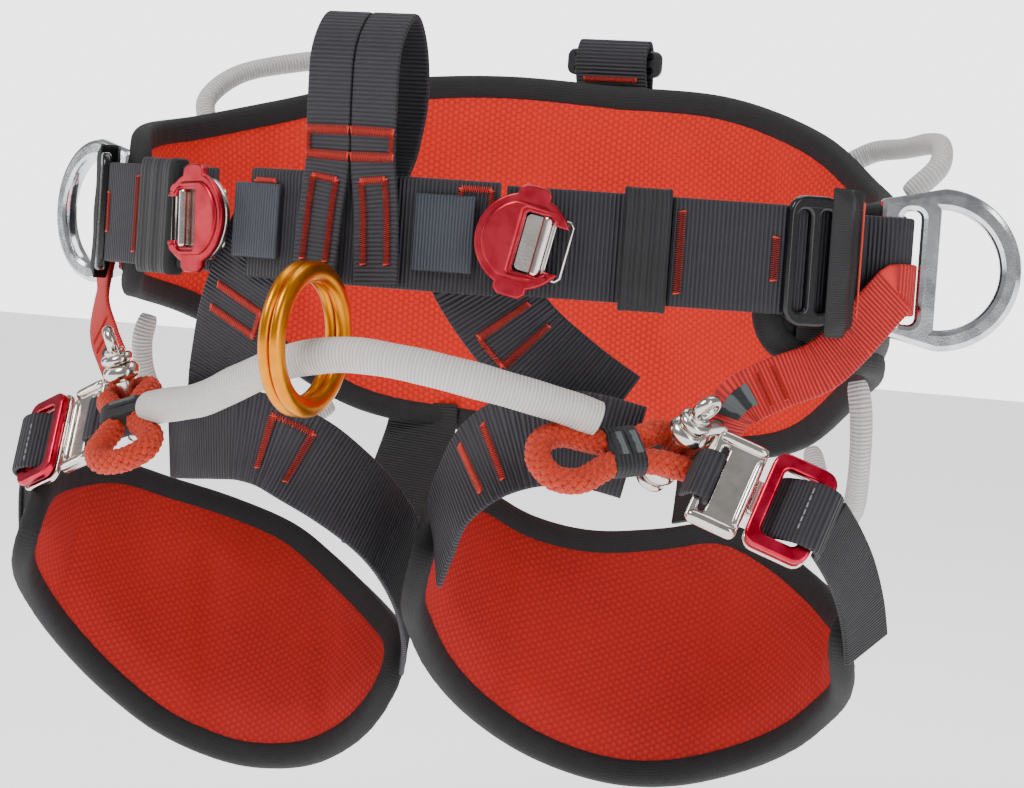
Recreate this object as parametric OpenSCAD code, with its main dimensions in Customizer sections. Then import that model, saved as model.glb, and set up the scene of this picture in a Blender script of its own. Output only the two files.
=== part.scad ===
// Tree climbing saddle: a padded waist belt, two leg loops, a rope bridge with a sliding ring,
// a front textile loop, side D-rings, front quick-release buckles and gear loops.
// Origin: centre of the waist opening at the belt webbing's mid-height. +X is the wearer's left,
// +Y the wearer's back, +Z up. Millimetres.

/* [Waist] */
// Half width of the waist opening at the belt
waist_a = 178; // [172:1:184]
// Half depth of the waist opening at the belt
waist_b = 122; // [118:1:126]
// Thickness of the waist pad
pad_t = 8; // [7:0.5:9]
// Thickness of the edge binding, measured through the pad
binding_t = 10; // [9:0.5:11]

/* [Webbing] */
// Width of the belt webbing
belt_w = 45; // [43:1:45]
// Thickness of one layer of belt webbing
web_t = 2.4; // [2:0.1:2.6]
// Width of the red slings
sling_w = 22; // [20:1:22]
// Width of the webbing risers and inner leg straps
riser_w = 40; // [36:1:42]

/* [Leg loops] */
// Radius of the left leg loop at the pad
leg_r_left = 90; // [88:1:91]
// Radius of the right leg loop at the pad
leg_r_right = 94; // [92:1:95]
// Forward lean of the thigh axis
leg_tilt = 24; // [22:1:26]

/* [Bridge and hardware] */
// Radius of the tubular bridge sleeve
sleeve_r = 7.5; // [7:0.5:8]
// Radius of the braided bridge rope
rope_r = 5.25; // [5:0.25:5.5]
// Outer radius of the ring on the bridge
ring_r = 32.5; // [32:0.5:33]
// Radius of the ring's hole
ring_hole_r = 23.5; // [23:0.5:24]
// Radius of the shackle pins
pin_r = 4; // [3.8:0.1:4.2]
// Radius of the gear loop tubes
gear_r = 5; // [4:0.5:5.5]

/* [Hidden] */

BLACK = "#2a2a2e";
WEB = "#3a3840";
RED = "#d02a1c";
LEG_RED = "#a81a14";
STEEL = "#c0b8b0";

X = [1, 0, 0];
Y = [0, 1, 0];
Z = [0, 0, 1];
SIDES = [-1, 1];

// Waist pad outline: angle round the waist from the back centre, top height, bottom height
WAIST_ROWS = [
    [-120, 18, -18], [-118, 29, -29], [-112, 36, -36], [-100, 41, -38], [-80, 47, -45], [-60, 58, -62],
    [-40, 72, -88], [-20, 78, -95], [0, 76, -98], [20, 73, -97], [40, 58, -88], [60, 36, -60],
    [80, 27, -48], [100, 23, -44], [112, 20, -43], [118, 14, -37], [120, 6, -28]
];
// Leg pad outlines: angle round the thigh from its back, top and bottom distance down the thigh axis
LEG_ROWS_LEFT = [
    [-124, -8, 2], [-121, -19, 8], [-113, -33, 12], [-95, -49, 18], [-75, -63, 28], [-55, -67, 40],
    [-35, -68, 51], [-15, -63, 56], [0, -51, 55], [15, -37, 50], [30, -23, 39], [40, -14, 27], [46, -3, 15]
];
LEG_ROWS_RIGHT = [
    [-119, -22, -10], [-115, -34, 0], [-108, -44, 6], [-95, -60, 10], [-80, -67, 19], [-60, -67, 29],
    [-40, -71, 36], [-20, -81, 38], [-3, -89, 34], [15, -79, 25], [35, -60, 14], [50, -45, 5],
    [65, -36, 1], [78, -32, -1], [86, -28, -6], [89, -22, -12]
];
// Routes, as points chosen along the webbing, rope or tube
LEFT_RISER = [[-48, -119, 6], [-58, -117, -14], [-71, -111, -42], [-81, -99, -66], [-87, -89, -84]];
RIGHT_RISER = [[38, -120, 4], [46, -117, -16], [62, -105, -40], [80, -90, -58], [95, -78, -70]];
LEFT_LEG_STRAP = [
    [-116, -83, -97], [-98, -97, -95], [-80, -106, -93], [-62, -111, -92], [-44, -110, -96], [-25, -98, -108],
    [-12, -76, -126], [-12, -46, -148], [-22, -18, -170], [-35, 2, -187]
];
LEFT_LEG_STRAP_N = [
    [0, -1, 0], [0, -1, 0], [0, -1, 0], [0, -1, 0], [0.2, -1, 0], [0.7, -0.8, 0.3], [1, -0.2, 0.1],
    [1, 0, 0], [1, 0.2, 0], [0.9, 0.4, 0]
];
RIGHT_LEG_STRAP = [
    [112, -92, -84], [92, -101, -80], [70, -107, -82], [52, -108, -91], [38, -105, -106],
    [29, -98, -122], [24, -90, -138]
];
RIGHT_LEG_STRAP_N = [
    [0, -1, 0], [0, -1, 0], [0, -1, 0], [-0.2, -1, 0.2], [-0.4, -0.9, 0.4], [-0.6, -0.8, 0.2], [-0.8, -0.5, 0]
];
BRIDGE = [
    [-106, -118, -84], [-91, -129, -81], [-65, -144, -76], [-41, -153, -66], [-16, -160, -56], [10, -161, -51],
    [34, -158, -52], [58, -150, -56], [79, -138, -61], [96, -126, -66], [106, -118, -70]
];
LEFT_SLING = [[-188, -24, -12], [-185, -37, -30], [-177, -53, -48], [-163, -66, -62], [-148, -76, -76]];
RIGHT_SLING = [[188, -24, -12], [185, -37, -30], [177, -53, -43], [164, -68, -51], [151, -76, -60], [141, -73, -73]];
LEFT_OUTER = [[-200, -68, -116], [-203, -64, -127], [-205, -60, -140], [-206, -56, -154], [-207, -52, -168]];
RIGHT_OUTER = [[195, -80, -108], [198, -69, -118], [200, -57, -130], [201, -46, -145], [201, -38, -160]];
GEAR_REAR_LEFT = [
    [-112, 104, 66], [-124, 112, 80], [-146, 108, 84], [-168, 92, 80], [-184, 70, 72], [-190, 52, 58], [-182, 44, 44]
];
GEAR_REAR_RIGHT = [
    [128, 95, 44], [142, 98, 52], [160, 88, 54], [178, 68, 56], [190, 48, 54], [194, 32, 44], [184, 24, 32]
];
GEAR_LOW_LEFT = [
    [-178, -8, -48], [-181, -8, -62], [-180, -2, -80], [-174, 12, -94], [-162, 36, -102], [-148, 58, -102],
    [-136, 76, -96], [-127, 86, -88]
];
GEAR_LOW_RIGHT = [
    [178, -8, -50], [181, -8, -64], [180, -2, -86], [174, 12, -106], [161, 36, -114], [147, 58, -111],
    [135, 76, -100], [127, 86, -88]
];

pad_in = -pad_t / 2;
pad_out = pad_t / 2;
rim = 4;
shell_t = 2;
strap_off = pad_out + shell_t + 1 + web_t / 2;
STRAP_GAP = 0.4;
front_off = 3;
D_BAR = [190, -15, 0];
D_YAW = 24;
D_THICK = 8;
d_bar_half = 4.75;
d_slot = [5, 13];
loop_r = 8.8;
sling_r = 11.4;
SHACKLE = [131, -96, -81];
// Directions at each shackle, left then right: along its pin, out to its bow, along the rope eye
PIN_DIR = [[-0.25, -0.3, 0.92], [0.63, -0.29, 0.72]];
BOW_DIR = [[-0.6, 0.6, 0.5], [0.6, 0.6, 0.5]];
EYE_DIR = [[0.47, -0.76, -0.44], [-0.70, -0.70, -0.14]];
// Middles of the leg buckle's plate and frame, left then right, for x > 0
PLATE = [[157, -88, -98], [157, -100, -93]];
FRAME = [[182, -78, -108], [180, -88, -102]];
LINK_YAW = 29;
LINK_DROP = 10;
RING = [-8, -160.5, -46];
LOOP_X = -8;
LEG_LEFT = [-106, -50, -170];
LEG_RIGHT = [97, -50, -170];

// ---- geometry helpers ----
function unit(v) = v / norm(v);
function spline(p0, p1, p2, p3, t) =
    0.5 * (2 * p1 + (p2 - p0) * t + (2 * p0 - 5 * p1 + 4 * p2 - p3) * t * t
    + (3 * p1 - p0 - 3 * p2 + p3) * t * t * t);
function smooth(p, k) = concat(
    [for (i = [0 : len(p) - 2]) for (j = [0 : k - 1])
        spline(p[max(i - 1, 0)], p[i], p[i + 1], p[min(i + 2, len(p) - 1)], j / k)],
    [p[len(p) - 1]]);
function flip(p) = [for (v = p) [-v[0], v[1], v[2]]];

// A point off millimetres outside the waist ellipse, at an angle from the back centre
function out_at(th) = unit([waist_b * sin(th), waist_a * cos(th), 0]);
function belt_at(th, off, z) = [waist_a * sin(th), waist_b * cos(th), z] + off * out_at(th);
function arc(a, b, step) = [for (k = [0 : ceil(abs(b - a) / step)]) a + (b - a) * k / ceil(abs(b - a) / step)];

// A point on a thigh cylinder: angle from its back, v down the thigh axis
function thigh_dir(th) = [sin(th), cos(th) * cos(leg_tilt), -cos(th) * sin(leg_tilt)];
function thigh_at(c, r, th, v) = c + r * thigh_dir(th) + v * [0, -sin(leg_tilt), -cos(leg_tilt)];

// Closed skin over rings of points, each ring turning anticlockwise about the direction of travel
module skin(rings, closed = false) {
    n = len(rings);
    m = len(rings[0]);
    last = closed ? n - 1 : n - 2;
    sides = [for (i = [0 : last]) for (k = [0 : m - 1])
        let (a = i * m + k, b = i * m + (k + 1) % m, c = ((i + 1) % n) * m + (k + 1) % m, d = ((i + 1) % n) * m + k)
        each [[a, d, b], [b, d, c]]];
    caps = closed ? [] : concat(
        [for (k = [1 : m - 2]) [0, k, k + 1]],
        [for (k = [1 : m - 2]) [(n - 1) * m, (n - 1) * m + k + 1, (n - 1) * m + k]]);
    polyhedron([for (r = rings) each r], concat(sides, caps), convexity = 8);
}

// Sweeps a section [out, across] along points p, with out turned towards the normals nn
module sweep(p, nn, section, closed = false) {
    n = len(p);
    skin([for (i = [0 : n - 1])
        let (
            a = closed ? p[(i + n - 1) % n] : p[max(i - 1, 0)],
            b = closed ? p[(i + 1) % n] : p[min(i + 1, n - 1)],
            t = unit(b - a),
            u = unit(nn[i] - (nn[i] * t) * t),
            v = cross(t, u))
        [for (s = section) p[i] + s[0] * u + s[1] * v]], closed);
}
function flat(w, t) = [[t / 2, w / 2], [-t / 2, w / 2], [-t / 2, -w / 2], [t / 2, -w / 2]];
function round_section(ru, rv, n) = [for (k = [0 : n - 1]) [ru * cos(360 * k / n), rv * sin(360 * k / n)]];
module tape(p, nn, w, t) sweep(p, nn, flat(w, t));
module tube(p, nn, r, n = 10) sweep(p, nn, round_section(r, r, n));
function same(p, v) = [for (q = p) v];

module belt_tape(a, b, off, w, t, z = 0) {
    th = arc(a, b, 4);
    tape([for (q = th) belt_at(q, off, z)], [for (q = th) out_at(q)], w, t);
}

// Puts a flat part on the belt: its X along the belt, its Y up, its Z outwards
module on_belt(th, off, z, turn = 0) {
    o = out_at(th);
    translate(belt_at(th, off, z)) rotate([90, 0, atan2(o[0], -o[1])]) rotate([0, 0, turn]) children();
}
module mirrored(side) {
    if (side < 0) mirror([1, 0, 0]) children();
    else children();
}
module slab(x, y, z, r) {
    linear_extrude(z) rounded(x, y, r);
}
module rounded(x, y, r) {
    square([x - 2 * r, y], center = true);
    square([x, y - 2 * r], center = true);
    for (i = SIDES, j = SIDES) translate([i * (x / 2 - r), j * (y / 2 - r)]) circle(r, $fn = 24);
}

// ---- waist belt ----
module waist_pad() {
    rows = smooth(WAIST_ROWS, 3);
    color(RED) skin([for (q = rows) [
        belt_at(q[0], pad_out, q[1] - rim), belt_at(q[0], pad_in, q[1] - rim),
        belt_at(q[0], pad_in, q[2] + rim), belt_at(q[0], pad_out, q[2] + rim)]]);
}
module waist_binding() {
    rows = smooth(WAIST_ROWS, 2);
    n = len(rows);
    top = [for (q = rows) [q[0], q[1] - rim]];
    low = [for (i = [n - 1 : -1 : 0]) [rows[i][0], rows[i][2] + rim]];
    edge = concat(top, low);
    color(BLACK) sweep([for (q = edge) belt_at(q[0], 0, q[1])], [for (q = edge) out_at(q[0])],
        round_section(binding_t / 2, 6, 8), closed = true);
}
module waist_shell() {
    rows = [for (q = smooth(WAIST_ROWS, 3)) if (abs(q[0]) <= 116) q];
    color(BLACK) skin([for (q = rows) [
        belt_at(q[0], pad_out + shell_t, q[1] - 11), belt_at(q[0], pad_out + STRAP_GAP, q[1] - 11),
        belt_at(q[0], pad_out + STRAP_GAP, q[2] + 11), belt_at(q[0], pad_out + shell_t, q[2] + 11)]]);
}
module back_webbing() color(WEB) belt_tape(-84, 84, strap_off, belt_w, web_t);

// Webbing along the wing, once round the D-ring's bar and back along itself
module wing_webbing(side) {
    front = arc(117, 101, 3);
    rear = arc(91, 86, 3);
    turn = arc(-75, 92, 14);
    bar = [D_BAR[0], D_BAR[1], 0];
    p = concat(
        [for (q = front) belt_at(q, strap_off, 0)],
        [for (q = turn) bar + loop_r * [cos(q), sin(q), 0]],
        [for (q = rear) belt_at(q, strap_off + 0.2, 0)]);
    nn = concat(
        [for (q = front) out_at(q)],
        [for (q = turn) [cos(q), sin(q), 0]],
        [for (q = rear) out_at(q)]);
    color(WEB) mirrored(side) tape(p, nn, belt_w - 3, web_t);
}
// From the adjuster over the wing's end, then in to the front line of the belt
module front_strap(side) {
    outer = strap_off + web_t + STRAP_GAP;
    th = arc(108, side > 0 ? 161 : 152, 3);
    color(WEB) mirrored(side) tape(
        [for (q = th) belt_at(q, outer + (front_off - outer) * min(1, max(0, (q - 122) / 12)), 0)],
        [for (q = th) out_at(q)], belt_w, web_t);
}
module front_panel() {
    color(WEB) belt_tape(162, 200, front_off + 0.2, belt_w + 2, web_t * 1.5);
}
// Two webbings side by side, folded over into the loop and sewn to the front and back of the panel
module ventral_loop() {
    path = [
        [-130.6, -22, 15], [-130.8, 8, 13], [-132, 28, 10.7], [-134, 52, 10.7], [-133, 76, 10.7], [-121, 90, 10.7],
        [-110, 78, 10.7], [-106, 56, 10.7], [-112, 34, 10.7], [-120.6, 18, 11], [-121, -18, 12]
    ];
    for (s = SIDES) {
        p = smooth([for (q = path) [LOOP_X + s * q[2], q[0], q[1]]], 4);
        n = len(p);
        color(WEB) tape(p, [for (i = [0 : n - 1]) cross(X, p[min(i + 1, n - 1)] - p[max(i - 1, 0)])], 21, web_t);
    }
}
module riser(route) {
    p = smooth(route, 4);
    color(WEB) tape(p, same(p, [0, -1, 0.2]), riser_w, web_t);
}
// Elastic sleeve round the doubled front strap
module keeper(side) {
    a = side > 0 ? 140 : 139;
    color(BLACK) mirrored(side) {
        belt_tape(a - 5, a + 5, front_off + web_t / 2 + 1.2, belt_w + 7, 1.6);
        belt_tape(a - 5, a + 5, front_off - web_t / 2 - 1.2, belt_w + 7, 1.6);
    }
}
// Bar adjuster: a frame with two slots for the front strap
module adjuster(side) {
    color(BLACK) mirrored(side) on_belt(116, strap_off + web_t * 2 + 0.6, 0) linear_extrude(4) difference() {
        rounded(26, 54, 6);
        for (s = SIDES) translate([s * 5.5, 0]) square([6, 42], center = true);
    }
}
module connector(side) {
    a = side > 0 ? 173 : 166;
    color("#5a6270") mirrored(side) belt_tape(a, a - 8, front_off + web_t + 1.6, 32, web_t, z = 1);
}
BUCKLE_TH = [151, 158];
BUCKLE_TURN = [-3, -12];
module on_buckle(side) {
    k = pick(side);
    mirrored(side) on_belt(BUCKLE_TH[k], front_off + web_t + 1.4, 0, BUCKLE_TURN[k]) children();
}
module buckle_shape() {
    difference() {
        circle(20, $fn = 64);
        translate([5, 0]) square([13, 25], center = true);
        translate([15, 0]) square([14, 19], center = true);
    }
    for (s = SIDES) translate([0, s * 20]) rounded(14, 7, 3);
}
module buckle_plate(side) {
    color("#c85a64") on_buckle(side) translate([0, 0, 3.2]) linear_extrude(4.5) buckle_shape();
}
module buckle_tongue(side) {
    color(STEEL) on_buckle(side) linear_extrude(2.8) difference() {
        union() {
            circle(19, $fn = 64);
            translate([10, 0]) rounded(18, 26, 3);
        }
        translate([5, 0]) square([11, 22], center = true);
        translate([-13, 0]) square([4, 26], center = true);
    }
}

// ---- D-rings and slings ----
module d_ring(side) {
    color(STEEL) mirrored(side) translate(D_BAR) rotate([90, 0, D_YAW]) translate([0, 0, -D_THICK / 2])
        linear_extrude(D_THICK) difference() {
            union() {
                intersection() {
                    translate([22, 0]) circle(34.5, $fn = 96);
                    translate([-d_bar_half, -40]) square([80, 80]);
                }
                polygon([[-d_bar_half, -28], [22, -34.5], [22, 34.5], [-d_bar_half, 28]]);
            }
            translate([(d_slot[0] + d_slot[1]) / 2, 0]) square([d_slot[1] - d_slot[0], belt_w + 3], center = true);
            intersection() {
                translate([22, 0]) circle(25.5, $fn = 96);
                translate([20, -30]) square([40, 60]);
            }
        }
}
// Red sling: round the D-ring's bar outside the webbing, then down to the shackle's bow
module sling(side) {
    route = side > 0 ? RIGHT_SLING : flip(LEFT_SLING);
    turn = arc(86, -50, 15);
    bar = [D_BAR[0], D_BAR[1], -9.5];
    down = smooth([for (i = [1 : len(route) - 1]) route[i]], 4);
    p = concat([for (q = turn) bar + sling_r * [cos(q), sin(q), 0]], down);
    nn = concat([for (q = turn) [cos(q), sin(q), 0]], same(down, [0.75, -0.55, 0.35]));
    color("#e0342c") mirrored(side) tape(p, nn, sling_w, 2);
}

// ---- shackles and bridge ----
function pick(side) = side > 0 ? 1 : 0;
function off_axis(v, axis) = unit(v - (v * axis) * axis);
function shackle_mid(side) = [side * SHACKLE[0], SHACKLE[1], SHACKLE[2]];
module placed(o, x, z) {
    y = cross(z, x);
    multmatrix([[x[0], y[0], z[0], o[0]], [x[1], y[1], z[1], o[1]], [x[2], y[2], z[2], o[2]], [0, 0, 0, 1]])
        children();
}
module at_shackle(side) {
    pin = unit(PIN_DIR[pick(side)]);
    placed(shackle_mid(side), off_axis(BOW_DIR[pick(side)], pin), pin) children();
}
EAR_IN = 8;
EAR_H = 7;
BOW_X = 15;
module shackle(side) {
    color(STEEL) at_shackle(side) difference() {
        union() {
            for (s = SIDES) translate([0, 0, s > 0 ? EAR_IN : -EAR_IN - EAR_H]) cylinder(h = EAR_H, r = 8, $fn = 48);
            for (s = SIDES) translate([0, 0, s * 11.8]) rotate([0, 90, 0]) cylinder(h = BOW_X, r = 3.6, $fn = 32);
            translate([BOW_X, 0, 0]) rotate([90, 0, 0]) rotate([0, 0, -90])
                rotate_extrude(angle = 180, $fn = 64) translate([11.8, 0]) circle(3.6, $fn = 32);
        }
        translate([0, 0, -20]) cylinder(h = 40, r = pin_r + 0.05, $fn = 48);
    }
}
// Pin with a round collar and a flat eye to turn it by
module shackle_pin(side) {
    top = EAR_IN + EAR_H;
    color(STEEL) at_shackle(side) {
        translate([0, 0, -top - 2]) cylinder(h = 2 * top + 3, r = pin_r, $fn = 48);
        translate([0, 0, top + 0.4]) cylinder(h = 3, r = 6.5, $fn = 48);
        translate([0, 0, -top - 4.4]) cylinder(h = 4, r = 6, $fn = 48);
        translate([0, 2.2, top + 11]) rotate([90, 0, 0]) difference() {
            union() {
                cylinder(h = 4.4, r = 7, $fn = 48);
                translate([-4, -9, 0]) cube([8, 6, 4.4]);
            }
            translate([0, 0, -1]) cylinder(h = 7, r = 3, $fn = 32);
        }
    }
}
module bridge_sleeve() {
    p = smooth(BRIDGE, 3);
    color("#d8d0cc") tube(p, same(p, Z), sleeve_r, 12);
}
// Closed rope loop: a small bight round the shackle's pin and a long teardrop on the other side,
// squeezed together between the two by the band
// Each row is a distance along the eye and half the spacing of its two legs there
EYE_SHAPE = [
    [-9.7, 0], [-7, 6.9], [0, 9.7], [8, 8.2], [16, 5.8], [29, 5.6], [36, 8.4], [46, 12.6], [56, 9.6], [60, 0]
];
eye_bend = 7;
function eye_dir(side) = unit(EYE_DIR[pick(side)]);
function eye_side(side) = unit(cross(unit(PIN_DIR[pick(side)]), eye_dir(side)));
function eye_mid(side, x) = let (q = off_axis(eye_dir(side), unit(PIN_DIR[pick(side)])))
    shackle_mid(side) + min(x, eye_bend) * q + max(0, x - eye_bend) * eye_dir(side);
function eye_path(side) = let (
    half = smooth([for (q = EYE_SHAPE) [q[0], q[1], 0]], 3),
    n = len(half),
    ring = concat(half, [for (i = [n - 2 : -1 : 1]) [half[i][0], -half[i][1], 0]]))
    [for (q = ring) eye_mid(side, q[0]) + q[1] * eye_side(side)];
module bridge_eye(side) {
    p = eye_path(side);
    color("#e0401c") sweep(p, same(p, cross(eye_dir(side), eye_side(side))), round_section(rope_r, rope_r, 10),
        closed = true);
}
module rope_band(side) {
    p = [for (x = [16, 23, 30]) eye_mid(side, x)];
    color(BLACK) sweep(p, same(p, cross(eye_dir(side), eye_side(side))), round_section(6.2, 11.8, 16));
}
module bridge_ring() {
    mid = (ring_r + ring_hole_r) / 2;
    lobe = (ring_r - ring_hole_r) / 2;
    color("#e8a020") translate(RING) rotate([0, 90, 0]) for (s = SIDES)
        rotate_extrude($fn = 96) translate([mid, s * 1.6]) circle(lobe, $fn = 32);
}

// ---- leg loops ----
module leg_pad(c, r, rows_in) {
    rows = smooth(rows_in, 3);
    color(LEG_RED) skin([for (q = rows) [
        thigh_at(c, r + pad_out, q[0], q[1] + rim), thigh_at(c, r + pad_in, q[0], q[1] + rim),
        thigh_at(c, r + pad_in, q[0], q[2] - rim), thigh_at(c, r + pad_out, q[0], q[2] - rim)]]);
}
module leg_binding(c, r, rows_in) {
    rows = smooth(rows_in, 2);
    n = len(rows);
    edge = concat([for (q = rows) [q[0], q[1] + rim]], [for (i = [n - 1 : -1 : 0]) [rows[i][0], rows[i][2] - rim]]);
    color(BLACK) sweep([for (q = edge) thigh_at(c, r, q[0], q[1])], [for (q = edge) thigh_dir(q[0])],
        round_section(binding_t / 2, 6, 8), closed = true);
}
module leg_strap(route, normals) {
    p = smooth(route, 4);
    color(WEB) tape(p, smooth(normals, 4), riser_w, web_t);
}
// Buckle parts hang in the thigh's frame: X along the strap, Z up the thigh, -Y outwards
module at_link(side, place) {
    mirrored(side) translate(place[pick(side)]) rotate([-leg_tilt, 0, 0]) rotate([0, 0, LINK_YAW]) rotate([0, LINK_DROP, 0])
        children();
}
module leg_plate(side) {
    color(STEEL) at_link(side, PLATE) rotate([90, 0, 0]) difference() {
        union() {
            linear_extrude(2.5) rounded(22, 42, 3);
            translate([-8, -18, 2.5]) rotate([0, 90, 0]) cylinder(h = 17, r = 2.4, $fn = 24);
        }
        translate([-6, 0, -1]) linear_extrude(5) square([3.4, 30], center = true);
        translate([6, 0, -1]) linear_extrude(5) square([3.4, 22], center = true);
    }
}
module leg_frame(side) {
    color("#c8304a") at_link(side, FRAME) translate([0, -3.2, 0]) rotate([90, 0, 0]) linear_extrude(4.2) difference() {
        rounded(28, 42, 4);
        rounded(16, 30, 2);
    }
}
module leg_underplate(side) {
    color(STEEL) at_link(side, FRAME) rotate([90, 0, 0]) linear_extrude(2.6) difference() {
        union() {
            rounded(27, 44, 4);
            translate([-14, 0]) rounded(4, 16, 1);
        }
        rounded(17, 31, 2);
    }
    color(STEEL) at_link(side, FRAME) rotate([90, 0, 0]) translate([0, 0, -3.6]) {
        linear_extrude(2.4) translate([-18, 0]) rounded(10, 16, 2);
        linear_extrude(4.6) translate([-14.6, 0]) square([2.6, 14], center = true);
    }
}
module leg_outer_strap(route) {
    p = smooth(route, 4);
    s = sign(route[0][0]);
    color(BLACK) tape(p, same(p, [s, -0.35, 0]), 29, web_t);
}
module rear_elastic(side) {
    x = side > 0 ? 72 : -86;
    low = side > 0 ? [78, 86, -124] : [-90, 72, -156];
    p = smooth([[x, 106, -84], [x, 105, -98], (low + [x, 100, -100]) / 2 + [0, 3, 0], low], 4);
    color(BLACK) tape(p, same(p, Y), 38, 2);
}

// ---- gear loops and rear strap ----
module gear_loop(route) {
    p = smooth(route, 4);
    s = sign(route[0][0]);
    color("#c8c6c4") tube(p, same(p, [0.55 * s, 1, 0.12]), gear_r, 10);
}
REAR_X = -6;
module rear_strap() {
    path = [
        [132.4, 30], [132.4, 62], [130, 76], [126.5, 86], [126.5, 94], [131, 100.5], [135.5, 94], [136, 84],
        [137, 66], [137, 40]
    ];
    p = smooth([for (q = path) [REAR_X, q[0], q[1]]], 4);
    n = len(p);
    color(WEB) tape(p, [for (i = [0 : n - 1]) cross(X, p[min(i + 1, n - 1)] - p[max(i - 1, 0)])], 38, 2);
}
module rear_slider() {
    color("#3a3a3e") translate([REAR_X, 131, 90]) rotate([-90, 0, 0]) difference() {
        translate([0, 0, -1.6]) slab(50, 13, 3.2, 3);
        for (s = SIDES) translate([0, s * 3.4, -3]) linear_extrude(8) square([41, 2.8], center = true);
    }
}

waist_pad();
waist_binding();
waist_shell();
back_webbing();
wing_webbing(-1);  // wing_webbing_left
wing_webbing(1);  // wing_webbing_right
front_strap(-1);  // front_strap_left
front_strap(1);  // front_strap_right
front_panel();
ventral_loop();
riser(LEFT_RISER);  // riser_left
riser(RIGHT_RISER);  // riser_right
keeper(-1);  // keeper_left
keeper(1);  // keeper_right
adjuster(-1);  // adjuster_left
adjuster(1);  // adjuster_right
connector(-1);  // connector_left
connector(1);  // connector_right
buckle_plate(-1);  // buckle_plate_left
buckle_plate(1);  // buckle_plate_right
buckle_tongue(-1);  // buckle_tongue_left
buckle_tongue(1);  // buckle_tongue_right
d_ring(-1);  // d_ring_left
d_ring(1);  // d_ring_right
sling(-1);  // sling_left
sling(1);  // sling_right
shackle(-1);  // shackle_left
shackle(1);  // shackle_right
shackle_pin(-1);  // shackle_pin_left
shackle_pin(1);  // shackle_pin_right
bridge_sleeve();
bridge_eye(-1);  // bridge_eye_left
bridge_eye(1);  // bridge_eye_right
rope_band(-1);  // rope_band_left
rope_band(1);  // rope_band_right
bridge_ring();
leg_strap(LEFT_LEG_STRAP, LEFT_LEG_STRAP_N);  // leg_strap_left
leg_strap(RIGHT_LEG_STRAP, RIGHT_LEG_STRAP_N);  // leg_strap_right
leg_pad(LEG_LEFT, leg_r_left, LEG_ROWS_LEFT);  // leg_pad_left
leg_pad(LEG_RIGHT, leg_r_right, LEG_ROWS_RIGHT);  // leg_pad_right
leg_binding(LEG_LEFT, leg_r_left, LEG_ROWS_LEFT);  // leg_binding_left
leg_binding(LEG_RIGHT, leg_r_right, LEG_ROWS_RIGHT);  // leg_binding_right
leg_plate(-1);  // leg_plate_left
leg_plate(1);  // leg_plate_right
leg_frame(-1);  // leg_frame_left
leg_frame(1);  // leg_frame_right
leg_underplate(-1);  // leg_underplate_left
leg_underplate(1);  // leg_underplate_right
leg_outer_strap(LEFT_OUTER);  // leg_outer_strap_left
leg_outer_strap(RIGHT_OUTER);  // leg_outer_strap_right
rear_elastic(-1);  // rear_elastic_left
rear_elastic(1);  // rear_elastic_right
gear_loop(GEAR_REAR_LEFT);  // gear_loop_rear_left
gear_loop(GEAR_REAR_RIGHT);  // gear_loop_rear_right
gear_loop(GEAR_LOW_LEFT);  // gear_loop_low_left
gear_loop(GEAR_LOW_RIGHT);  // gear_loop_low_right
rear_strap();
rear_slider();
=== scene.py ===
import math

import bpy
import numpy as np
from mathutils import Matrix, Vector


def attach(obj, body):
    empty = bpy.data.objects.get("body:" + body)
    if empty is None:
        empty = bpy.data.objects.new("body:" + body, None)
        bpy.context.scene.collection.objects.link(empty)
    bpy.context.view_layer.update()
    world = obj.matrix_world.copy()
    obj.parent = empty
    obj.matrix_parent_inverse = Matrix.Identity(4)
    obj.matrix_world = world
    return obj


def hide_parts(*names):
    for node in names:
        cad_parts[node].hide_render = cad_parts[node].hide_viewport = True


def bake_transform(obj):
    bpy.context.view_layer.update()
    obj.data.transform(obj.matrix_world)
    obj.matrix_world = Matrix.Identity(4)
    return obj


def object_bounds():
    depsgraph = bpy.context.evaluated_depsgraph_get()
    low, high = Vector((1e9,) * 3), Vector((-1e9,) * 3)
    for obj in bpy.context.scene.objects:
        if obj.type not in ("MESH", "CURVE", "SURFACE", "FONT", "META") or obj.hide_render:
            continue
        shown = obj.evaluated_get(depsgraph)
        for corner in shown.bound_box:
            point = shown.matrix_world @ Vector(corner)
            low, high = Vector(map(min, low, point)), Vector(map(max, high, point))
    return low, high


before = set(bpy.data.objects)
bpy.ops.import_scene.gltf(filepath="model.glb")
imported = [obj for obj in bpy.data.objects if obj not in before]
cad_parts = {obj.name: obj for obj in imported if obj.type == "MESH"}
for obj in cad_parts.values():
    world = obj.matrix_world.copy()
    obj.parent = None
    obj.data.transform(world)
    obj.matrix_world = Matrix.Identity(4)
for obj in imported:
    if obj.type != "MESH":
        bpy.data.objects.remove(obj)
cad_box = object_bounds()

# Tree climbing saddle. Sizes are millimetres, and metres() turns them into the frame's own unit.
MM = 0.001
SIDES = {"left": -1, "right": 1}


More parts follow.
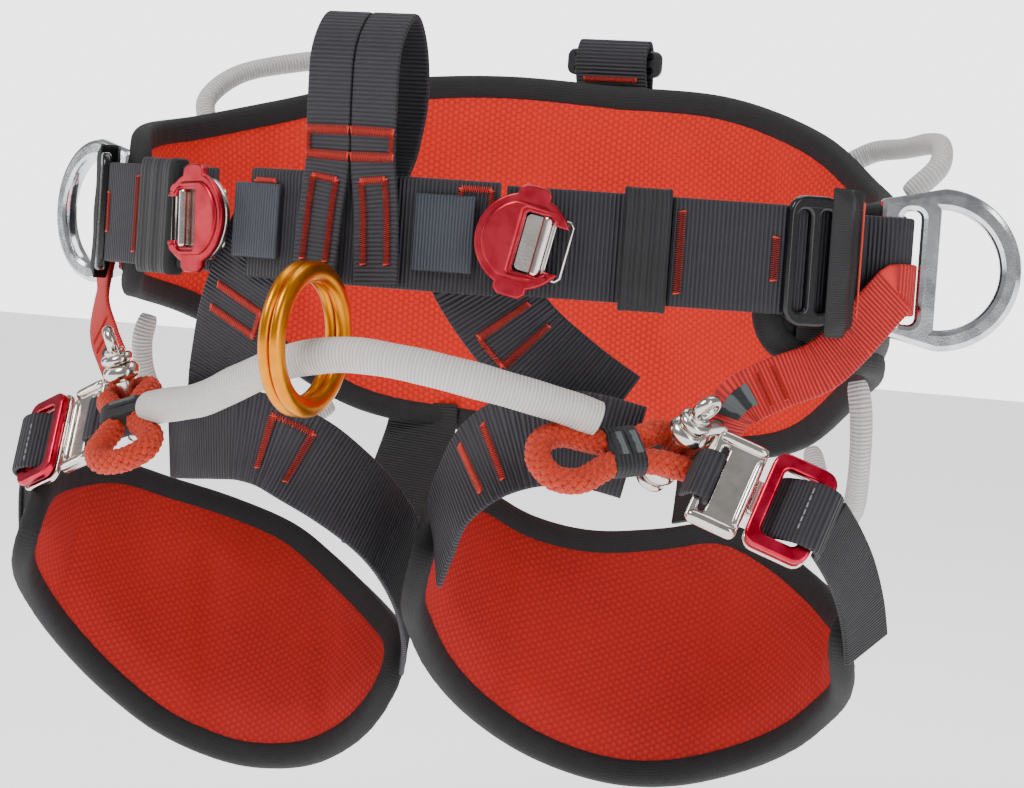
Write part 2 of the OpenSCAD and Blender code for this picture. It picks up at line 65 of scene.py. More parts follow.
# ---------------------------------------------------------------- driving dimensions
WAIST_A, WAIST_B = 178, 122      # half width and half depth of the waist opening
BELT_W, WEB_T = 45, 2.4          # belt webbing
RISER_W = 40
SLING_W = 22
FRONT_OFF = 3                    # front belt line outside the waist ellipse
STRAP_OFF = 8.2                  # wing webbing outside the waist ellipse
LEG_R = {"left": 90, "right": 94}
LEG_MID = {"left": (-106, -50, -170), "right": (97, -50, -170)}
LEG_TILT = math.radians(24)
D_BAR, D_YAW = (190, -15, 0), 24  # the D-ring's straight bar, and its turn about Z
LOOP_X = -8                      # middle of the front loop
UP = np.array([0, 0, 1.0])
SHACKLE = (131, -96, -81)
PIN_DIR = {"left": (-0.25, -0.3, 0.92), "right": (0.63, -0.29, 0.72)}
BOW_DIR = {"left": (-0.6, 0.6, 0.5), "right": (0.6, 0.6, 0.5)}
EYE_DIR = {"left": (0.47, -0.76, -0.44), "right": (-0.70, -0.70, -0.14)}
PLATE = {"left": (157, -88, -98), "right": (157, -100, -93)}
FRAME = {"left": (182, -78, -108), "right": (180, -88, -102)}
BUCKLE = {"left": (151, -3), "right": (158, -12)}    # angle round the belt, turn in its plane
FRONT_END = {"left": 152, "right": 161}              # angle where the front strap meets its buckle
LAP_END = {"left": 132.6, "right": 137.6}            # angle where its sewn-back end stops
KEEPER = {"left": (138.2, 5.4), "right": (141.3, 3.4)}  # middle and half width as angles
CONNECTOR = {"left": 166, "right": 173}              # angle where the grey connector starts
RING = (-8, -160.5, -46)

# Pad outlines: angle, top edge, bottom edge
WAIST_ROWS = [
    (-120, 18, -18), (-118, 29, -29), (-112, 36, -36), (-100, 41, -38), (-80, 47, -45), (-60, 58, -62),
    (-40, 72, -88), (-20, 78, -95), (0, 76, -98), (20, 73, -97), (40, 58, -88), (60, 36, -60),
    (80, 27, -48), (100, 23, -44), (112, 20, -43), (118, 14, -37), (120, 6, -28)]
LEG_ROWS = {
    "left": [
        (-124, -8, 2), (-121, -19, 8), (-113, -33, 12), (-95, -49, 18), (-75, -63, 28), (-55, -67, 40),
        (-35, -68, 51), (-15, -63, 56), (0, -51, 55), (15, -37, 50), (30, -23, 39), (40, -14, 27),
        (46, -3, 15)],
    "right": [
        (-119, -22, -10), (-115, -34, 0), (-108, -44, 6), (-95, -60, 10), (-80, -67, 19), (-60, -67, 29),
        (-40, -71, 36), (-20, -81, 38), (-3, -89, 34), (15, -79, 25), (35, -60, 14), (50, -45, 5),
        (65, -36, 1), (78, -32, -1), (86, -28, -6), (89, -22, -12)]}


# ---------------------------------------------------------------- points and frames
def unit(v):
    """Vectors of length one, along the last axis."""
    v = np.asarray(v, float)
    return v / np.linalg.norm(v, axis=-1, keepdims=True)


def catmull(points, steps):
    """A smooth line through given points, with steps spans between each pair."""
    p = np.asarray(points, float)
    last = len(p) - 1
    out = []
    for i in range(last):
        a, b, c, d = p[max(i - 1, 0)], p[i], p[i + 1], p[min(i + 2, last)]
        for t in np.arange(steps) / steps:
            out.append(0.5 * (2 * b + (c - a) * t + (2 * a - 5 * b + 4 * c - d) * t * t
                              + (3 * b - a - 3 * c + d) * t ** 3))
    return np.array(out + [p[last]])


def lengths(p):
    """Distance along a line at each of its points."""
    return np.concatenate([[0], np.cumsum(np.linalg.norm(np.diff(p[:, :3], axis=0), axis=1))])


def even(rows, step):
    """The same line with its points step apart; further columns are carried along."""
    s = lengths(rows)
    count = max(2, int(round(s[-1] / step)) + 1)
    want = np.linspace(0, s[-1], count)
    return np.stack([np.interp(want, s, rows[:, k]) for k in range(rows.shape[1])], axis=1)


def directions(p, closed=False):
    """The way a line runs at each of its points."""
    if closed:
        return unit(np.roll(p, -1, axis=0) - np.roll(p, 1, axis=0))
    d = np.empty_like(p)
    d[1:-1] = p[2:] - p[:-2]
    d[0], d[-1] = p[1] - p[0], p[-1] - p[-2]
    return unit(d)


def carried(p, start, closed=False):
    """A direction that starts at start and is carried along the line without twist."""
    t = directions(p, closed)
    u = np.asarray(start, float)
    out = []
    for k in t:
        u = unit(u - (u @ k) * k)
        out.append(u)
    return np.array(out)


def belt_out(angle):
    """Outward from the waist ellipse; 0 degrees is the back and 90 the right side."""
    a = np.radians(angle)
    return unit(np.stack([WAIST_B * np.sin(a), WAIST_A * np.cos(a), 0 * a], axis=-1))


def belt_at(angle, off, z):
    """A point off the waist ellipse by off, at height z."""
    angle = np.asarray(angle, float)
    a = np.radians(angle)
    base = np.stack([WAIST_A * np.sin(a), WAIST_B * np.cos(a), z + 0 * a], axis=-1)
    return base + np.asarray(off)[..., None] * belt_out(angle)


def thigh_out(angle):
    """Outward from a leg loop's tilted axis."""
    a = np.radians(angle)
    return np.stack([np.sin(a), np.cos(a) * math.cos(LEG_TILT), -np.cos(a) * math.sin(LEG_TILT)], axis=-1)


def thigh_at(side, angle, off, down):
    """A point off a leg loop's cylinder by off, and down along its axis."""
    angle = np.asarray(angle, float)
    axis = np.array([0, -math.sin(LEG_TILT), -math.cos(LEG_TILT)])
    return (np.array(LEG_MID[side]) + (LEG_R[side] + np.asarray(off))[..., None] * thigh_out(angle)
            + np.asarray(down + 0 * angle)[..., None] * axis)


def arc(a, b, step):
    """Angles from a to b, at most step apart."""
    return np.linspace(a, b, int(math.ceil(abs(b - a) / step)) + 1)


def flip_x(points):
    """The same points on the other side."""
    return np.asarray(points, float) * [-1, 1, 1]


# ---------------------------------------------------------------- placing
def basis(origin, x, y, z):
    """The place of a part whose own axes are x, y and z."""
    m = Matrix.Identity(4)
    for k, v in enumerate((x, y, z, origin)):
        m[0][k], m[1][k], m[2][k] = (float(c) for c in v)
    return m


def mirrored(side):
    """Flips a part drawn for the right side when it belongs on the left."""
    return Matrix.Scale(-1, 4, (1, 0, 0)) if SIDES[side] < 0 else Matrix.Identity(4)


def turned(x=0, y=0, z=0):
    """Turns in degrees, about X first."""
    return (Matrix.Rotation(math.radians(z), 4, "Z") @ Matrix.Rotation(math.radians(y), 4, "Y")
            @ Matrix.Rotation(math.radians(x), 4, "X"))


def on_belt(side, angle, off, z=0, turn=0):
    """Flat part on the belt: X along the belt, Y up, Z outwards."""
    o = belt_out(angle)
    place = Matrix.Translation(Vector(belt_at(angle, off, z)))
    return mirrored(side) @ place @ turned(90, 0, math.degrees(math.atan2(o[0], -o[1]))) @ turned(z=turn)


def at_link(side, place):
    """Leg buckle part: X along the strap, Z up the thigh, -Y outwards."""
    return (mirrored(side) @ Matrix.Translation(Vector(place[side])) @ turned(x=-24) @ turned(z=29)
            @ turned(y=10))


def at_shackle(side):
    """Shackle part: Z along the pin, X towards the bow."""
    z = unit(PIN_DIR[side])
    x = np.array(BOW_DIR[side])
    x = unit(x - (x @ z) * z)
    return basis(shackle_mid(side), x, np.cross(z, x), z)


def shackle_mid(side):
    """The middle of a shackle's pin."""
    return np.array([SIDES[side] * SHACKLE[0], SHACKLE[1], SHACKLE[2]], float)


# ---------------------------------------------------------------- materials
def linear(code):
    """A hex sRGB colour as linear red, green, blue and alpha."""
    parts = [int(code[i:i + 2], 16) / 255 for i in (1, 3, 5)]
    return [c / 12.92 if c < 0.04045 else ((c + 0.055) / 1.055) ** 2.4 for c in parts] + [1]


class Finish:
    """A material under construction: its tree, its shader, and one way to add a node."""

    def __init__(self, name, **surface):
        self.material = bpy.data.materials.new(name)
        self.material.use_nodes = True
        self.tree = self.material.node_tree
        self.shader = self.tree.nodes["Principled BSDF"]
        for socket, value in surface.items():
            self.shader.inputs[socket.replace("_", " ")].default_value = value

    def add(self, kind, links=None, settings=None, **values):
        """A node with its linked sockets, its own settings and its fixed sockets."""
        node = self.tree.nodes.new("ShaderNode" + kind)
        for key, value in (settings or {}).items():
            setattr(node, key, value)
        for key, value in values.items():
            node.inputs[key.replace("_", " ")].default_value = value
        for socket, source in (links or {}).items():
            self.tree.links.new(source, node.inputs[socket])
        return node

    def maths(self, operation, a, b=0.0, c=0.0):
        """One sum on numbers or sockets."""
        node = self.tree.nodes.new("ShaderNodeMath")
        node.operation = operation
        for k, value in enumerate((a, b, c)):
            if isinstance(value, (int, float)):
                node.inputs[k].default_value = value
            else:
                self.tree.links.new(value, node.inputs[k])
        return node.outputs[0]

    def ramp(self, factor, stops):
        """A colour from (position, hex) stops."""
        node = self.add("ValToRGB", {"Fac": factor})
        band = node.color_ramp
        band.elements[0].position, band.elements[0].color = stops[0][0], linear(stops[0][1])
        band.elements[1].position, band.elements[1].color = stops[-1][0], linear(stops[-1][1])
        for place, code in stops[1:-1]:
            band.elements.new(place).color = linear(code)
        return node.outputs["Color"]

    def join(self, socket, source):
        self.tree.links.new(source, self.shader.inputs[socket])

    def bump(self, height, distance, strength=1.0):
        node = self.add("Bump", {"Height": height}, Distance=distance, Strength=strength)
        self.join("Normal", node.outputs["Normal"])

    def along(self):
        """Millimetres across and along the cloth, from the mesh's own map."""
        uv = self.add("UVMap", settings={"uv_map": "cloth"})
        split = self.add("SeparateXYZ", {"Vector": uv.outputs["UV"]})
        return split.outputs["X"], split.outputs["Y"]

    def spot(self, scale_mm, detail=2.0):
        """Soft noise with features of about scale_mm in the object's own space."""
        place = self.add("TexCoord")
        noise = self.add("TexNoise", {"Vector": place.outputs["Object"]}, Scale=1 / (scale_mm * MM),
                         Detail=detail)
        return noise.outputs["Fac"]


def wave(finish, coordinate, pitch):
    """0 to 1 and back once every pitch millimetres."""
    turns = finish.maths("MULTIPLY", coordinate, 2 * math.pi / pitch)
    return finish.maths("MULTIPLY_ADD", finish.maths("COSINE", turns), 0.5, 0.5)


def spacer_mesh(name, valley, face, painted_highlight, cell):
    """Knitted spacer mesh: small hexagonal cells in a matt polyester face, with painted shade darker in their
    holes and a painted highlight on the ridge tops.
    """
    f = Finish(name, Roughness=0.85)
    x, y = f.along()
    total = None
    for turn in (0, 60, 120):
        c, s = math.cos(math.radians(turn)), math.sin(math.radians(turn))
        lane = f.maths("ADD", f.maths("MULTIPLY", x, c), f.maths("MULTIPLY", y, s))
        ridge = wave(f, lane, cell)
        total = ridge if total is None else f.maths("ADD", total, ridge)
    height = f.maths("MULTIPLY", total, 1 / 3)
    patch = f.maths("MULTIPLY_ADD", f.spot(45), 0.3, -0.15)
    # Colour follows the cells' height: painted shade in the holes, painted highlight on the ridge tops.
    f.join("Base Color", f.ramp(f.maths("ADD", height, patch), [(0.15, valley), (0.45, face), (0.95, painted_highlight)]))
    f.bump(height, 0.0006, 0.6)
    return f.material


def webbing(name, valley, rib_top, rib, roughness=0.62, weave=0.9):
    """Woven polyester webbing: cross ribs with a slight sheen, and fine warp threads between them."""
    f = Finish(name, Roughness=roughness, Sheen_Weight=0.06, Sheen_Roughness=0.4)
    x, y = f.along()
    ribs = wave(f, y, rib)
    threads = wave(f, x, weave)
    on_ribs = f.maths("MULTIPLY", f.maths("MULTIPLY", threads, ribs), 0.25)
    height = f.maths("ADD", f.maths("MULTIPLY", ribs, 0.75), on_ribs)
    worn = f.maths("MULTIPLY_ADD", f.spot(6, 4), 0.3, -0.15)
    f.join("Base Color", f.ramp(f.maths("ADD", height, worn), [(0.1, valley), (0.85, rib_top)]))
    f.bump(height, 0.0005, 0.8)
    return f.material


def plain_weave(name, dark, light, pitch, roughness=0.7):
    """Plain-woven tape or cover cloth: a fine over-and-under grid, almost matt."""
    f = Finish(name, Roughness=roughness)
    x, y = f.along()
    grid = f.maths("MULTIPLY", wave(f, x, pitch), wave(f, y, pitch))
    worn = f.maths("MULTIPLY_ADD", f.spot(9, 3), 0.5, -0.2)
    f.join("Base Color", f.ramp(f.maths("ADD", grid, worn), [(0.05, dark), (0.9, light)]))
    f.bump(grid, 0.0003, 0.6)
    return f.material


def metal(name, dark, light, roughness, wear_mm=7, grain=0.03, metallic=1.0):
    """Bare or anodised metal: the tone drifts a little and handling leaves fine dull patches."""
    f = Finish(name, Metallic=metallic)
    haze = f.spot(wear_mm, 5)
    f.join("Base Color", f.ramp(haze, [(0.35, dark), (0.65, light)]))
    fine = f.spot(0.8, 2)
    f.join("Roughness", f.maths("MULTIPLY_ADD", haze, 2 * grain, roughness - grain))
    f.bump(fine, 0.00006, 0.25)
    return f.material


def braid(name, dark, light):
    """Twisted polyester yarn: fine filaments run along each strand."""
    f = Finish(name, Roughness=0.6, Sheen_Weight=0.08, Sheen_Roughness=0.4)
    x, y = f.along()
    threads = wave(f, f.maths("ADD", x, f.maths("MULTIPLY", y, 0.35)), 0.55)
    worn = f.maths("MULTIPLY_ADD", f.spot(3, 3), 0.5, -0.25)
    f.join("Base Color", f.ramp(f.maths("ADD", threads, worn), [(0.0, dark), (0.8, light)]))
    f.bump(threads, 0.0002, 0.6)
    return f.material


def moulded(name, dark, light, roughness):
    """Moulded or coated part: even colour with a fine grain."""
    f = Finish(name, Roughness=roughness)
    f.join("Base Color", f.ramp(f.spot(5, 4), [(0.3, dark), (0.7, light)]))
    f.bump(f.spot(0.5, 2), 0.00008, 0.4)
    return f.material


def smudged_print(name, ground, ink):
    """Grey transfer print in plain blocks on cloth, partly worn off."""
    f = Finish(name, Roughness=0.8)
    _, y = f.along()
    blocks = wave(f, y, 9)
    worn = f.maths("MULTIPLY_ADD", f.spot(2.2, 4), 0.8, -0.4)
    f.join("Base Color", f.ramp(f.maths("ADD", blocks, worn), [(0.25, ground), (0.5, ink)]))
    f.bump(wave(f, y, 1.6), 0.0003, 0.5)
    return f.material


FINISH = {
    # the waist pad's mesh is a bright orange-red, the leg pads' a deeper one
    # in each mesh the first colour is painted shade for the holes and the last a painted highlight for the
    # ridge tops
    "spacer_mesh": spacer_mesh("polyester_spacer_mesh_red", "#b41000", "#dc1c06", "#e42c12", 2.7),
    "leg_mesh": spacer_mesh("polyester_spacer_mesh_deep_red", "#860a04", "#ac0f06", "#b81a10", 2.7),
    "binding_tape": plain_weave("woven_binding_tape", "#0c0c0e", "#222226", 1.1, 0.75),
    "shell_fabric": plain_weave("coated_cover_cloth", "#0c0c0e", "#1d1d21", 1.0, 0.6),
    "belt_webbing": webbing("polyester_webbing_charcoal", "#070609", "#2c2833", 1.8),
    "black_webbing": webbing("polyester_webbing_black", "#08080a", "#1d1c21", 1.2),
    "elastic": webbing("knitted_elastic_black", "#070709", "#19191d", 1.4),
    "black_steel": moulded("black_coated_steel", "#08080a", "#141417", 0.24),
    "black_plastic": moulded("moulded_nylon", "#1c1c20", "#2c2c32", 0.4),
    "grey_webbing": webbing("smooth_webbing_slate", "#1b2027", "#39404b", 1.4, 0.5),
    "rose_anodised": metal("matt_anodised_rose", "#a02230", "#b83340", 0.36),
    "crimson_anodised": metal("anodised_crimson", "#b0102a", "#cf2a48", 0.28),
    "stainless": metal("polished_stainless_steel", "#d3ccc4", "#e2dcd4", 0.17),
    "polished_aluminium": metal("polished_aluminium", "#c8cacf", "#eceef1", 0.13),
    "red_sling": webbing("polyester_webbing_red", "#8e0806", "#de1c18", 1.7),
    "sleeve_weave": webbing("tubular_webbing_pale", "#bdb7b3", "#dfd9d4", 1.5),
    "orange_rope": braid("braided_rope_orange", "#641000", "#f03c06"),
    "band_sheath": webbing("shrunk_rope_sheath", "#0a0a0c", "#202024", 1.8),
    "gold_anodised": metal("satin_anodised_gold", "#d98206", "#e8940e", 0.32),
    "loop_sheath": webbing("tubular_webbing_light_grey", "#b9b6b4", "#d6d3d1", 1.7),
    "thread": braid("bonded_thread_red", "#c41d0e", "#ff4630"),
    "grey_thread": braid("bonded_thread_grey", "#5a5c60", "#9a9ca0"),
    # painted shade for the inside of the hollow rope eye, drawn as a dark tube
    "painted_shade_core": plain_weave("rope_core_shadow", "#1c0200", "#380804", 1.0),
    "print_patch": smudged_print("worn_transfer_print", "#202325", "#565b5d"),
}


def metres(points):
    """Millimetres to the frame's unit."""
    return np.asarray(points, float).reshape(-1, 3) * MM


def piece(name, points, faces, finish, body, uv=None, replaces=(), place=None, smooth=True):
    """One visible piece from points in millimetres; place moves a part drawn in its own frame."""
    mesh = bpy.data.meshes.new(name)
    mesh.from_pydata(metres(points).tolist(), [], [list(map(int, f)) for f in faces])
    if uv is not None:
        layer = mesh.uv_layers.new(name="cloth")
        corner = np.empty(len(mesh.loops), dtype=np.int32)
        mesh.loops.foreach_get("vertex_index", corner)
        layer.data.foreach_set("uv", np.asarray(uv, np.float32)[corner].ravel())
    return settle(name, mesh, finish, body, replaces, place, smooth)


def settle(name, mesh, finish, body, replaces=(), place=None, smooth=True):
    """Finishes a mesh as a piece on a body; with no body it is left free."""
    if place is not None:
        move = place.copy()
        move.translation *= MM
        mesh.transform(move)
        if move.determinant() < 0:
            mesh.flip_normals()
    mesh.materials.append(FINISH[finish])
    mesh.polygons.foreach_set("use_smooth", [smooth] * len(mesh.polygons))
    mesh.update()
    obj = bpy.data.objects.new(name, mesh)
    bpy.context.scene.collection.objects.link(obj)
    if body:
        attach(obj, body)
    if replaces:
        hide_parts(*([replaces] if isinstance(replaces, str) else replaces))
    return obj


def skin(rings, closed=False, caps=True):
    """Faces over rings of equal size."""
    rows, count = len(rings), len(rings[0])
    faces = []
    for i in range(rows if closed else rows - 1):
        j = (i + 1) % rows
        for k in range(count):
            m = (k + 1) % count
            faces.append((i * count + k, i * count + m, j * count + m, j * count + k))
    if caps and not closed:
        faces.append(tuple(range(count - 1, -1, -1)))
        faces.append(tuple((rows - 1) * count + k for k in range(count)))
    return np.concatenate(rings), faces


def merge(parts):
    """Joins (points, faces, uv) parts into one."""
    points, faces, uv, base = [], [], [], 0
    for p, f, t in parts:
        points.append(p)
        uv.append(t)
        faces += [tuple(v + base for v in face) for face in f]
        base += len(p)
    return np.concatenate(points), faces, np.concatenate(uv)


def pipe(line, radius, sides=12, normals=None, closed=False, flatten=1.0):
    """A round rod along a line; radius may vary by point, and flatten thins it along normals."""
    p = np.asarray(line, float)
    t = directions(p, closed)
    if normals is None:
        u = carried(p, side_of(t[0]), closed)
    else:
        n = np.broadcast_to(np.asarray(normals, float), p.shape)
        u = unit(n - np.sum(n * t, axis=1, keepdims=True) * t)
    v = np.cross(t, u)
    r = np.broadcast_to(np.asarray(radius, float), (len(p),))
    turn = 2 * np.pi * np.arange(sides) / sides
    rings = [p[i] + r[i] * (flatten * np.outer(np.cos(turn), u[i]) + np.outer(np.sin(turn), v[i]))
             for i in range(len(p))]
    s = lengths(p)
    uv = [np.stack([turn * r[i], np.full(sides, s[i])], axis=1) for i in range(len(p))]
    points, faces = skin(rings, closed)
    return points, faces, np.concatenate(uv)


def side_of(t):
    """Any direction square to t."""
    return np.cross(t, (0, 0, 1)) if abs(t[2]) < 0.9 else np.cross(t, (1, 0, 0))


class Strap:
    """Flat webbing: a centre line with the way its face looks, a width and a thickness."""

    def __init__(self, route, faces, width, thick, steps=6, pitch=0.45):
        rows = np.hstack([np.asarray(route, float), np.asarray(faces, float)])
        rows = even(catmull(rows, steps) if steps > 1 else rows, pitch)
        self.p = rows[:, :3]
        self.t = directions(self.p)
        n = rows[:, 3:]
        self.u = unit(n - np.sum(n * self.t, axis=1, keepdims=True) * self.t)
        self.v = np.cross(self.t, self.u)
        self.s = lengths(self.p)
        self.width, self.thick = width, thick

    @property
    def length(self):
        return self.s[-1]

    def at(self, s, a, lift=0.0):
        """Points at distance s along and a across, lift above the face."""
        s, a = np.asarray(s, float), np.asarray(a, float)
        mid, face, side = (np.stack([np.interp(s, self.s, w[:, k]) for k in range(3)], axis=-1)
                           for w in (self.p, self.u, self.v))
        return mid + (self.thick / 2 + np.asarray(lift))[..., None] * face + a[..., None] * side

    def mesh(self, rib=1.8, rib_h=0.18):
        """Rings round the webbing, swelled at each cross rib; rib is their spacing, and 0 leaves them out."""
        w, h = self.width / 2, self.thick / 2
        edge = h * 0.9
        near = w - edge * 0.35
        lane = np.linspace(-w + edge, w - edge, 9)
        across = np.concatenate([lane, [near, w, near], lane[::-1], [-near, -w, -near]])
        low, high = [-h * 0.75], [h * 0.75]
        up = np.concatenate([np.full(9, h), high, [0], low, np.full(9, -h), low, [0], high])
        flat = np.concatenate([np.ones(9), [0.3, 0, 0.3], np.ones(9), [0.3, 0, 0.3]])
        rings, uv = [], []
        for i in range(len(self.s)):
            swell = rib_h * math.cos(2 * math.pi * self.s[i] / rib) if rib else 0
            out = up + np.sign(up) * flat * swell / 2
            rings.append(self.p[i] + np.outer(out, self.u[i]) + np.outer(across, self.v[i]))
            uv.append(np.stack([across, np.full(len(across), self.s[i])], axis=1))
        points, faces = skin(rings)
        return points, faces, np.concatenate(uv)


def strap_piece(name, strap, finish, body, replaces=(), rib=1.8, rib_h=0.18):
    """A strap as a visible piece."""
    points, faces, uv = strap.mesh(rib, rib_h)
    return piece(name, points, faces, finish, body, uv, replaces)


def same(route, v):
    """The vector v for each point of a route."""
    return np.tile(np.asarray(v, float), (len(route), 1))


def sewn(name, lines, body, radius=0.5, finish="thread"):
    """Stitching as real thread: every line is one run of thread."""
    parts = [pipe(line, radius, 5) for line in lines]
    points, faces, uv = merge(parts)
    return piece(name, points, faces, finish, body, uv)


def tack(strap, start, end, wide=3.0, pitch=0.9, lift=0.3):
    """A bar tack: close zigzag from start to end, each given as (along, across) on the strap."""
    a, b = np.array(start, float), np.array(end, float)
    run = np.linalg.norm(b - a)
    count = max(3, int(run / pitch * 2))
    d = (b - a) / run
    n = np.array([-d[1], d[0]])
    k = np.arange(count + 1)
    q = a + np.outer(k / count * run, d) + np.outer(np.where(k % 2 == 0, -wide / 2, wide / 2), n)
    return strap.at(q[:, 0], q[:, 1], lift)


def dashes(strap, start, end, stitch=3.2, gap=0.9, lift=0.15):
    """A straight seam of separate stitches."""
    a, b = np.array(start, float), np.array(end, float)
    run = np.linalg.norm(b - a)
    d = (b - a) / run
    lines = []
    for k in range(int(run / stitch)):
        s = np.linspace(k * stitch + gap / 2, (k + 1) * stitch - gap / 2, 4)
        q = a + np.outer(s, d)
        rise = np.array([-0.2, lift, lift, -0.2])
        lines.append(strap.at(q[:, 0], q[:, 1], rise))
    return lines


def circle(radius, count=48, mid=(0, 0), start=0, end=360):
    """Points on a circle or, with start and end in degrees, on an arc."""
    full = abs(end - start) >= 360
    a = np.radians(np.linspace(start, end, count, endpoint=not full))
    return np.stack([mid[0] + radius * np.cos(a), mid[1] + radius * np.sin(a)], axis=1)


def rounded(x, y, r, mid=(0, 0), count=6):
    """A rectangle with round corners."""
    corners = [(1, 1, 0), (-1, 1, 90), (-1, -1, 180), (1, -1, 270)]
    return np.concatenate([circle(r, count, (mid[0] + i * (x / 2 - r), mid[1] + j * (y / 2 - r)), a, a + 89.9)
                           for i, j, a in corners])


def plate(name, outlines, thick, bevel, place, finish, body, replaces=(), facets=2, smooth=True):
    """A flat part cut from sheet: the first outline is its edge, the rest are holes; edges are broken."""
    curve = bpy.data.curves.new(name, "CURVE")
    curve.dimensions = "2D"
    curve.fill_mode = "BOTH"
    curve.extrude = (thick / 2 - bevel) * MM
    curve.bevel_depth = bevel * MM
    curve.bevel_resolution = facets
    curve.offset = -bevel * MM
    for outline in outlines:
        line = curve.splines.new("POLY")
        line.points.add(len(outline) - 1)
        for point, (x, y) in zip(line.points, outline):
            point.co = (x * MM, y * MM, 0, 1)
        line.use_cyclic_u = True
    holder = bpy.data.objects.new(name + "_outline", curve)
    bpy.context.scene.collection.objects.link(holder)
    bpy.context.view_layer.update()
    mesh = bpy.data.meshes.new_from_object(holder.evaluated_get(bpy.context.evaluated_depsgraph_get()))
    bpy.data.objects.remove(holder)
    mesh.name = name
    mesh.transform(Matrix.Translation((0, 0, thick / 2 * MM)))
    return settle(name, mesh, finish, body, replaces, place, smooth)


def sharp(obj, angle=35):
    """Edges steeper than angle stay crisp."""
    obj.data.set_sharp_from_angle(angle=math.radians(angle))
    return obj


def lathe(profile, segments=48):
    """A part turned round its own Z axis from a closed (radius, height) profile."""
    turn = 2 * np.pi * np.arange(segments) / segments
    profile = np.asarray(profile, float)
    r, z = profile[:, 0], profile[:, 1]
    rings = [np.stack([r * math.cos(a), r * math.sin(a), z], axis=1) for a in turn]
    points, faces = skin(rings, closed=True)
    return points, faces, np.zeros((len(points), 2))


def turned_part(name, profiles, place, finish, body, replaces=(), segments=48):
    """One visible piece from several lathe profiles."""
    points, faces, uv = merge([lathe(p, segments) for p in profiles])
    return piece(name, points, faces, finish, body, uv, replaces, place)


def disc(radius, low, high, edge, hole=0.0):
    """Profile of a round disc with rolled edges, solid or with a hole."""
    steps = np.radians(np.linspace(0, 90, 5))
    top = [(radius - edge + edge * math.sin(a), high - edge + edge * math.cos(a)) for a in steps]
    low_side = [(radius - edge + edge * math.cos(a), low + edge - edge * math.sin(a)) for a in steps]
    return [(hole, high)] + top + low_side + [(hole, low)]


# ---------------------------------------------------------------- camera, lights, floor
CAMERA_AZ, CAMERA_EL, CAMERA_ROLL = (math.radians(a) for a in (25, 3, 4))
CAMERA_AIM = (0.010, 0.004, -0.070)
CAMERA_FAR = 1.4


def camera():
    """A long lens from the front right, rolled a little."""
    level = math.cos(CAMERA_EL)
    back = Vector((math.sin(CAMERA_AZ) * level, -math.cos(CAMERA_AZ) * level, math.sin(CAMERA_EL)))
    right = (-back).cross(Vector((0, 0, 1))).normalized()
    up = right.cross(-back)
    x = right * math.cos(CAMERA_ROLL) + up * math.sin(CAMERA_ROLL)
    y = up * math.cos(CAMERA_ROLL) - right * math.sin(CAMERA_ROLL)
    lens = bpy.data.cameras.new("camera")
    lens.lens, lens.sensor_width = 108, 36
    lens.clip_start, lens.clip_end = 0.05, 30
    eye = bpy.data.objects.new("camera", lens)
    bpy.context.scene.collection.objects.link(eye)
    eye.matrix_world = basis(Vector(CAMERA_AIM) + back * CAMERA_FAR, x, y, back)
    bpy.context.scene.camera = eye


def light(name, place, target, size, power):
    """A rectangular lamp aimed at target; sizes and places in metres, power in watts."""
    lamp = bpy.data.lights.new(name, "AREA")
    lamp.shape = "RECTANGLE"
    lamp.size, lamp.size_y = size
    lamp.energy = power
    obj = bpy.data.objects.new(name, lamp)
    bpy.context.scene.collection.objects.link(obj)
    obj.location = place
    obj.rotation_euler = (Vector(target) - Vector(place)).to_track_quat("-Z", "Y").to_euler()


def studio():
    """A bright backdrop behind the saddle as seen from the camera, dim surroundings, and soft lamps."""
    world = bpy.data.worlds.new("studio")
    bpy.context.scene.world = world
    world.use_nodes = True
    tree = world.node_tree
    back = tree.nodes["Background"]
    place = tree.nodes.new("ShaderNodeTexCoord")
    facing = tree.nodes.new("ShaderNodeVectorMath")
    facing.operation = "DOT_PRODUCT"
    facing.inputs[1].default_value = (-0.42, 0.905, -0.05)
    glow = tree.nodes.new("ShaderNodeMapRange")
    for socket, value in {"From Min": 0.86, "From Max": 0.95, "To Min": 0.33, "To Max": 3.6}.items():
        glow.inputs[socket].default_value = value
    tree.links.new(place.outputs["Generated"], facing.inputs[0])
    tree.links.new(facing.outputs["Value"], glow.inputs["Value"])
    tree.links.new(glow.outputs["Result"], back.inputs["Strength"])
    back.inputs["Color"].default_value = linear("#f6f7f9")
    light("key", (-0.5, -1.5, 1.7), (0, 0, -0.05), (0.9, 0.9), 36)
    light("fill", (1.9, -0.9, 0.5), (0, 0, -0.1), (0.5, 1.4), 12)
    light("strip", (-1.9, -0.5, 0.2), (0, 0, -0.1), (0.3, 1.4), 7)
    light("top", (0.1, 0.5, 1.6), (0, 0, 0), (1.6, 0.9), 13)

    f = Finish("studio_floor_paper", Roughness=0.9)
    f.shader.inputs["Base Color"].default_value = linear("#f4f4f5")
    f.shader.inputs["Emission Color"].default_value = linear("#ffffff")
    f.shader.inputs["Emission Strength"].default_value = 1.25
    floor = bpy.data.meshes.new("floor")
    span, drop = 6.0, cad_box[0][2] - 0.06
    corners = [(-span, -span, drop), (span, -span, drop), (span, span, drop), (-span, span, drop)]
    floor.from_pydata(corners, [], [(0, 1, 2, 3)])
    floor.materials.append(f.material)
    obj = bpy.data.objects.new("floor", floor)
    bpy.context.scene.collection.objects.link(obj)


camera()
studio()


# ---------------------------------------------------------------- pads
def smoothstep(x):
    """0 to 1 with a soft start and end."""
    x = np.clip(x, 0, 1)
    return x * x * (3 - 2 * x)


def border(grid):
    """The numbers of a grid's outer points, in order round it, and of the next point after each."""
    loop = np.concatenate([grid[:, 0], grid[-1, 1:], grid[-2::-1, -1], grid[0, -2:0:-1]])
    return loop, np.roll(loop, -1)


